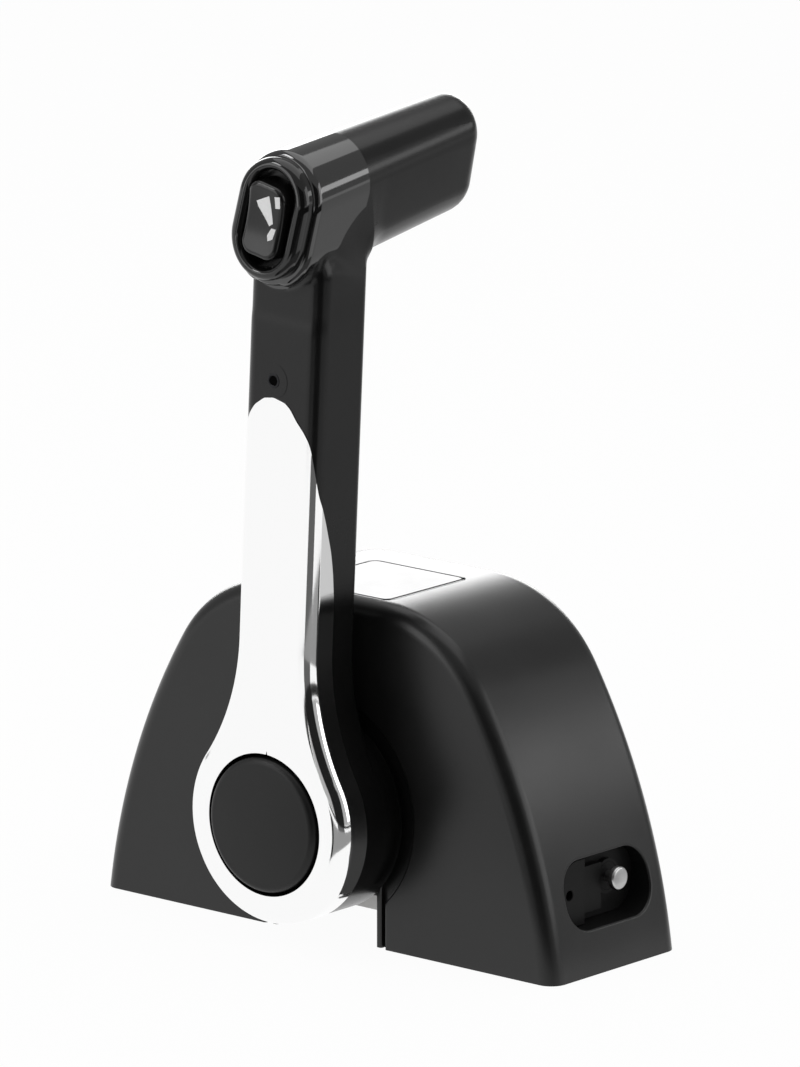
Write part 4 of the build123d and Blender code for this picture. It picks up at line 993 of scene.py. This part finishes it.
def recess_skin(plan, depth, edge, way):
    """Rings of the recess: on the aft end's curve, down the wall and over the floor to the stop button's stem."""
    floor, stem_gap, hold = bpy.context.scene.cover_sizes.recess_floor, 0.0032, 0.0006
    outer, _ = dome_path()
    level = np.interp(plan[..., 1], outer[:, 1], outer[:, 0]) - depth
    low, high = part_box("stop_button")
    stem = np.array(((low[0] + high[0]) / 2, (low[2] + high[2]) / 2)) + stem_gap * way
    rings = [aft(x, z, y + 0 * x) for (x, z), y in ((edge.T, floor + hold), (edge.T, floor), (stem.T, floor))]
    return aft(plan[..., 0], plan[..., 1], level), rings


def seat_skin(plan, depth, edge, way):
    """Rings of the panel's seat: on the flat top, down the wall and over the floor to its middle."""
    s = bpy.context.scene.cover_sizes
    seat_depth, hold = 0.0012, 0.0002
    floor = s.height - seat_depth
    middle = 0 * edge + np.array((s.panel_x, s.panel_y))
    rings = [np.column_stack((flat, np.full(len(edge), z))) for flat, z in ((edge, floor + hold), (edge, floor),
                                                                           (middle, floor))]
    return np.concatenate((plan, (s.height - depth + 0 * plan[..., 0])[..., None]), -1), rings


class LEVER_OT_panel(Operator):
    """Square panel let into the top of the cover"""
    bl_idname = "lever.panel"
    bl_label = "Top panel"

    def execute(self, context):
        s = context.scene.cover_sizes
        gap, corner, proud = 0.0003, 0.0027, 0.0001
        half = s.panel / 2 - gap
        edge, _ = outline(lambda x, y: corner_box(x, y, half, half, corner), circle(241), 0.04)
        profile = rounded([(0, 0.0), (1, 0.0), (1, -0.0018)], (0.0004,), steps=5)
        inset = np.concatenate((np.zeros(1), 1 - (1 - profile[1:, 0]) / half))
        plan = edge[:, None] * inset[:, None]
        z = s.height + proud + profile[:, 1] + 0 * plan[..., 0]
        piece("top_panel", [np.stack((plan[..., 0] + s.panel_x, plan[..., 1] + s.panel_y, z), -1)], "housing",
              "Satin cover plastic", ("top_plate",))
        return {"FINISHED"}


class LEVER_OT_stop(Operator):
    """Engine-stop button and the shallow step beside it"""
    bl_idname = "lever.stop"
    bl_label = "Stop button"

    def execute(self, context):
        low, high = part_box("stop_button")
        back, radius = -low[1], (high[0] - low[0]) / 2
        centre = ((low[0] + high[0]) / 2, (low[2] + high[2]) / 2)
        stem, shoulder, end = 0.002, back - 0.0026, back - 0.010
        crown = np.linspace(0, radius - 0.001, 8)
        face = np.stack((crown, back - 0.0003 * (crown / radius) ** 2), -1)
        rim = rounded([face[-1], (radius, face[-1, 1]), (radius, shoulder), (stem, shoulder), (stem, end), (0, end)],
                      (0.0009, 0.0003, 0.0002, 0.0002), steps=7)
        piece("stop_knob", [turned(np.concatenate((face, rim[1:])), aft, centre, 64)], "stop_plunger",
              "Machined steel", ("stop_button",))
        piece("recess_shelf", [recess_shelf()], "housing", "Switch plastic")
        return {"FINISHED"}


def recess_shelf():
    """Shallow floor beside the button: rings from its small hole out to its edge and down to the deep floor."""
    s = bpy.context.scene.cover_sizes
    middle, hole, rounding = np.array((-0.0145, s.recess_z)), 0.0017, 0.0002

    def form(x, z):
        pocket = corner_box(x + middle[0] - s.recess_x, z, s.recess_width / 2, s.recess_height / 2, RECESS_CORNER)
        return np.maximum(pocket, x + middle[0] - s.recess_shelf)

    way = circle(145)
    edge, _ = outline(form, way, 0.03)
    lip = edge * (1 - 2 * rounding / np.linalg.norm(edge, axis=1)[:, None])
    rim = way * (hole + rounding)
    rings = [way * hole, way * hole, rim, *(rim + (lip - rim) * t for t in (0.3, 0.7, 1)), edge, edge]
    plan = np.stack(rings) + middle
    depth = np.array((s.recess_floor, s.recess_step - rounding, *[s.recess_step] * 4,
                      s.recess_step - 2 * rounding, s.recess_floor))[:, None]
    return aft(plan[..., 0], plan[..., 1], depth + 0 * plan[..., 0])


# ---------------------------------------------------------------- pieces kept from the frame

class LEVER_OT_inside(Operator):
    """Finishes of the frame, bearings, gears, screws and switches"""
    bl_idname = "lever.inside"
    bl_label = "Inner pieces"

    def execute(self, context):
        parts = {
            "Satin cover plastic": ("shaft_shroud",),
            "Cast alloy": ("main_frame", "lever_core"),
            "Machined steel": ("main_shaft", "hub_bolt", "hub_washer", "shaft_clip", "gear_studs", "stud_clips",
                               "shift_cable_pin", "throttle_cable_pin", "rocker_pin", "cover_screws",
                               "clamp_screws", "friction_screw", "drive_gear", "shift_gear", "throttle_gear"),
            "Natural acetal": ("port_bush", "starboard_bush", "cable_clamps"),
            "Switch plastic": ("trim_switch", "stop_switch_body", "switch_plate"),
            "Pressed pad": ("friction_pad",),
        }
        for label, names in parts.items():
            for name in names:
                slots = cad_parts[name].material_slots
                if not slots:
                    raise RuntimeError(f"{name} has no material slot")
                for place in slots:
                    place.material = material_of(label)
        return {"FINISHED"}


# ---------------------------------------------------------------- studio

def lamp(name, place, aim_height, size, power):
    """Square soft lamp that faces the object at a height above the floor."""
    data = bpy.data.lights.new(name, "AREA")
    data.energy, data.size = power, size
    made = added(name, data)
    made.location = place
    made.rotation_euler = (Vector((0, 0, aim_height)) - Vector(place)).to_track_quat("-Z", "Y").to_euler()


def reflector(name, points, faces, strength):
    """Glowing shape that reflections alone see."""
    material = bpy.data.materials.new(name)
    material.use_nodes = True
    material.node_tree.nodes.clear()
    glow = add(material.node_tree, "ShaderNodeEmission", Strength=strength)
    add(material.node_tree, "ShaderNodeOutputMaterial", {0: glow})
    mesh = bpy.data.meshes.new(name)
    mesh.from_pydata(points.tolist(), [], faces)
    mesh.materials.append(material)
    made = added(name, mesh)
    made.visible_camera = made.visible_diffuse = made.visible_shadow = made.visible_transmission = False


def card(name, place, aim_height, width, height, strength):
    """Flat card that faces the object at a height above the floor."""
    corners = np.array(((-1, -1, 0), (1, -1, 0), (1, 1, 0), (-1, 1, 0))) * (width / 2, height / 2, 1)
    turn = (Vector((0, 0, aim_height)) - Vector(place)).to_track_quat("Z", "Y").to_matrix()
    reflector(name, corners @ np.array(turn).T + np.array(place), [(0, 1, 2, 3)], strength)


def fan(name, near, far, start, end, strength, steps=24):
    """Sector of a ring just above the floor, between two bearings in degrees."""
    bearing = np.radians(np.linspace(start, end, steps + 1))
    way = np.stack((np.cos(bearing), np.sin(bearing)), -1)
    rims = [np.column_stack((way * radius, np.full(steps + 1, 0.001))) for radius in (near, far)]
    faces = [(k, k + steps + 1, k + steps + 2, k + 1) for k in range(steps)]
    reflector(name, np.concatenate(rims), faces, strength)


# name, place, height of the point it faces, width, height and glow
CARDS = (("dark_card", (-1.5, -1.35, 0.6), 0.13, 2.2, 1.5, 0.015),
         ("back_card", (1.9, 1.63, 0.72), 0.13, 2.0, 1.0, 5.5),
         ("high_card", (-0.9, 0.8, 1.3), 0.25, 0.45, 0.35, 9.0),
         ("aft_strip", (1.5, -1.3, 0.71), 0.25, 0.9, 0.3, 3.0))
# name, near and far radius, start and end bearing and glow
FANS = (("near_fan", 0.17, 0.42, 176, 286, 0.3),
        ("near_fan_fore", 0.17, 0.42, 166, 176, 0.015),
        ("near_fan_aft", 0.17, 0.42, 286, 298, 0.015),
        ("middle_fan", 0.42, 0.78, 203, 243, 0.12),
        ("far_fan", 0.78, 2.4, 172, 302, 0.015),
        ("side_fan", 0.16, 2.4, 302, 345, 0.6))
# name, place, height of the point it faces, size and power
LAMPS = (("overhead_soft", (0.2, 0.1, 1.5), 0.1, 1.6, 9),
         ("port_soft", (-1.6, 0.9, 0.7), 0.13, 1.2, 9),
         ("aft_soft", (0.7, -1.7, 0.7), 0.13, 1.2, 8))


def world_light(scene):
    """Even grey room for diffuse and glossy light, white for the camera and through glass."""
    studio = scene.studio
    scene.world = bpy.data.worlds.new("Studio")
    scene.world.use_nodes = True
    tree = scene.world.node_tree
    tree.nodes.clear()
    path = add(tree, "ShaderNodeLightPath").outputs
    soft, gloss, plain = (add(tree, "ShaderNodeBackground", {0: (1, 1, 1, 1), 1: strength})
                          for strength in (studio.room_light, studio.room_gloss, 1.0))
    first = add(tree, "ShaderNodeMixShader", {0: path["Is Glossy Ray"], 1: soft, 2: gloss})
    seen = maths(tree, "MAXIMUM", path["Is Camera Ray"], path["Is Transmission Ray"])
    add(tree, "ShaderNodeOutputWorld", {0: add(tree, "ShaderNodeMixShader", {0: seen, 1: first, 2: plain})})


def floor_finish(scene):
    """Pale floor: its own colour for light that falls on it, and a glow for the camera, metal and glass."""
    studio = scene.studio
    material = bpy.data.materials.new("Pale floor")
    material.use_nodes = True
    tree = material.node_tree
    shader = tree.nodes["Principled BSDF"]
    shader.inputs["Base Color"].default_value = scene.finishes.room
    shader.inputs["Roughness"].default_value = 0.8
    shader.inputs["Specular IOR Level"].default_value = 0.1
    path = add(tree, "ShaderNodeLightPath").outputs
    # Is Glossy Ray and Is Transmission Ray keep the floor bright in the chrome and through anything clear
    mirrored = maths(tree, "MAXIMUM", path["Is Glossy Ray"], path["Is Transmission Ray"])
    both = maths(tree, "MAXIMUM", maths(tree, "MULTIPLY", path["Is Camera Ray"], studio.floor_share), mirrored)
    strength = maths(tree, "MULTIPLY_ADD", mirrored, studio.mirror_gain, 1.0)
    glow = add(tree, "ShaderNodeEmission", {"Color": (1, 1, 1, 1), "Strength": strength})
    mix = add(tree, "ShaderNodeMixShader", {0: both, 1: shader, 2: glow})
    tree.links.new(mix.outputs[0], tree.nodes["Material Output"].inputs[0])
    return material


class LEVER_OT_studio(Operator):
    """Pale floor, soft lamps, reflectors and camera"""
    bl_idname = "lever.studio"
    bl_label = "Studio"

    def execute(self, context):
        scene, studio = context.scene, context.scene.studio
        scene.view_settings.view_transform = "Standard"
        world_light(scene)
        half, mesh = studio.floor_half, bpy.data.meshes.new("floor")
        mesh.from_pydata([(-half, -half, 0), (half, -half, 0), (half, half, 0), (-half, half, 0)], [], [(0, 1, 2, 3)])
        mesh.materials.append(floor_finish(scene))
        added("floor", mesh)
        for maker, rows in ((lamp, LAMPS), (card, CARDS), (fan, FANS)):
            for row in rows:
                maker(*row)
        level = np.cos(studio.pitch)
        forward = np.array((np.cos(studio.heading) * level, np.sin(studio.heading) * level, -np.sin(studio.pitch)))
        data = bpy.data.cameras.new("camera")
        data.sensor_fit, data.sensor_width, data.lens = "HORIZONTAL", 36, studio.lens
        data.clip_start, data.clip_end = 0.1, 60
        view = added("camera", data)
        view.location = np.array(studio.target) - forward * studio.distance
        view.rotation_euler = Vector(forward).to_track_quat("-Z", "Y").to_euler()
        scene.camera = view
        return {"FINISHED"}


# ---------------------------------------------------------------- add-on

OPERATORS = (LEVER_OT_cover, LEVER_OT_panel, LEVER_OT_stop, LEVER_OT_arm, LEVER_OT_trim, LEVER_OT_button,
             LEVER_OT_spring, LEVER_OT_head, LEVER_OT_switch, LEVER_OT_screw, LEVER_OT_inside, LEVER_OT_studio)
GROUPS = {"cover_sizes": CoverSizes, "lever_sizes": LeverSizes, "grip_sizes": GripSizes, "finishes": Finishes,
          "studio": StudioSettings}


class LEVER_PT_panel(Panel):
    """Lists the operators and the values that they read"""
    bl_label = "Control Lever"
    bl_space_type = "VIEW_3D"
    bl_region_type = "UI"
    bl_category = "Control Lever"

    def draw(self, context):
        for operator in OPERATORS:
            self.layout.operator(operator.bl_idname)
        for name, kind in GROUPS.items():
            box = self.layout.box()
            for value in kind.__annotations__:
                box.prop(getattr(context.scene, name), value)


def register():
    for kind in (*GROUPS.values(), *OPERATORS, LEVER_PT_panel):
        bpy.utils.register_class(kind)
    for name, kind in GROUPS.items():
        setattr(bpy.types.Scene, name, PointerProperty(type=kind))


def unregister():
    for name in GROUPS:
        delattr(bpy.types.Scene, name)
    for kind in reversed((*GROUPS.values(), *OPERATORS, LEVER_PT_panel)):
        bpy.utils.unregister_class(kind)


def main():
    register()
    for operator in OPERATORS:
        space, name = operator.bl_idname.split(".")
        getattr(getattr(bpy.ops, space), name)()


if __name__ == "__main__":
    main()
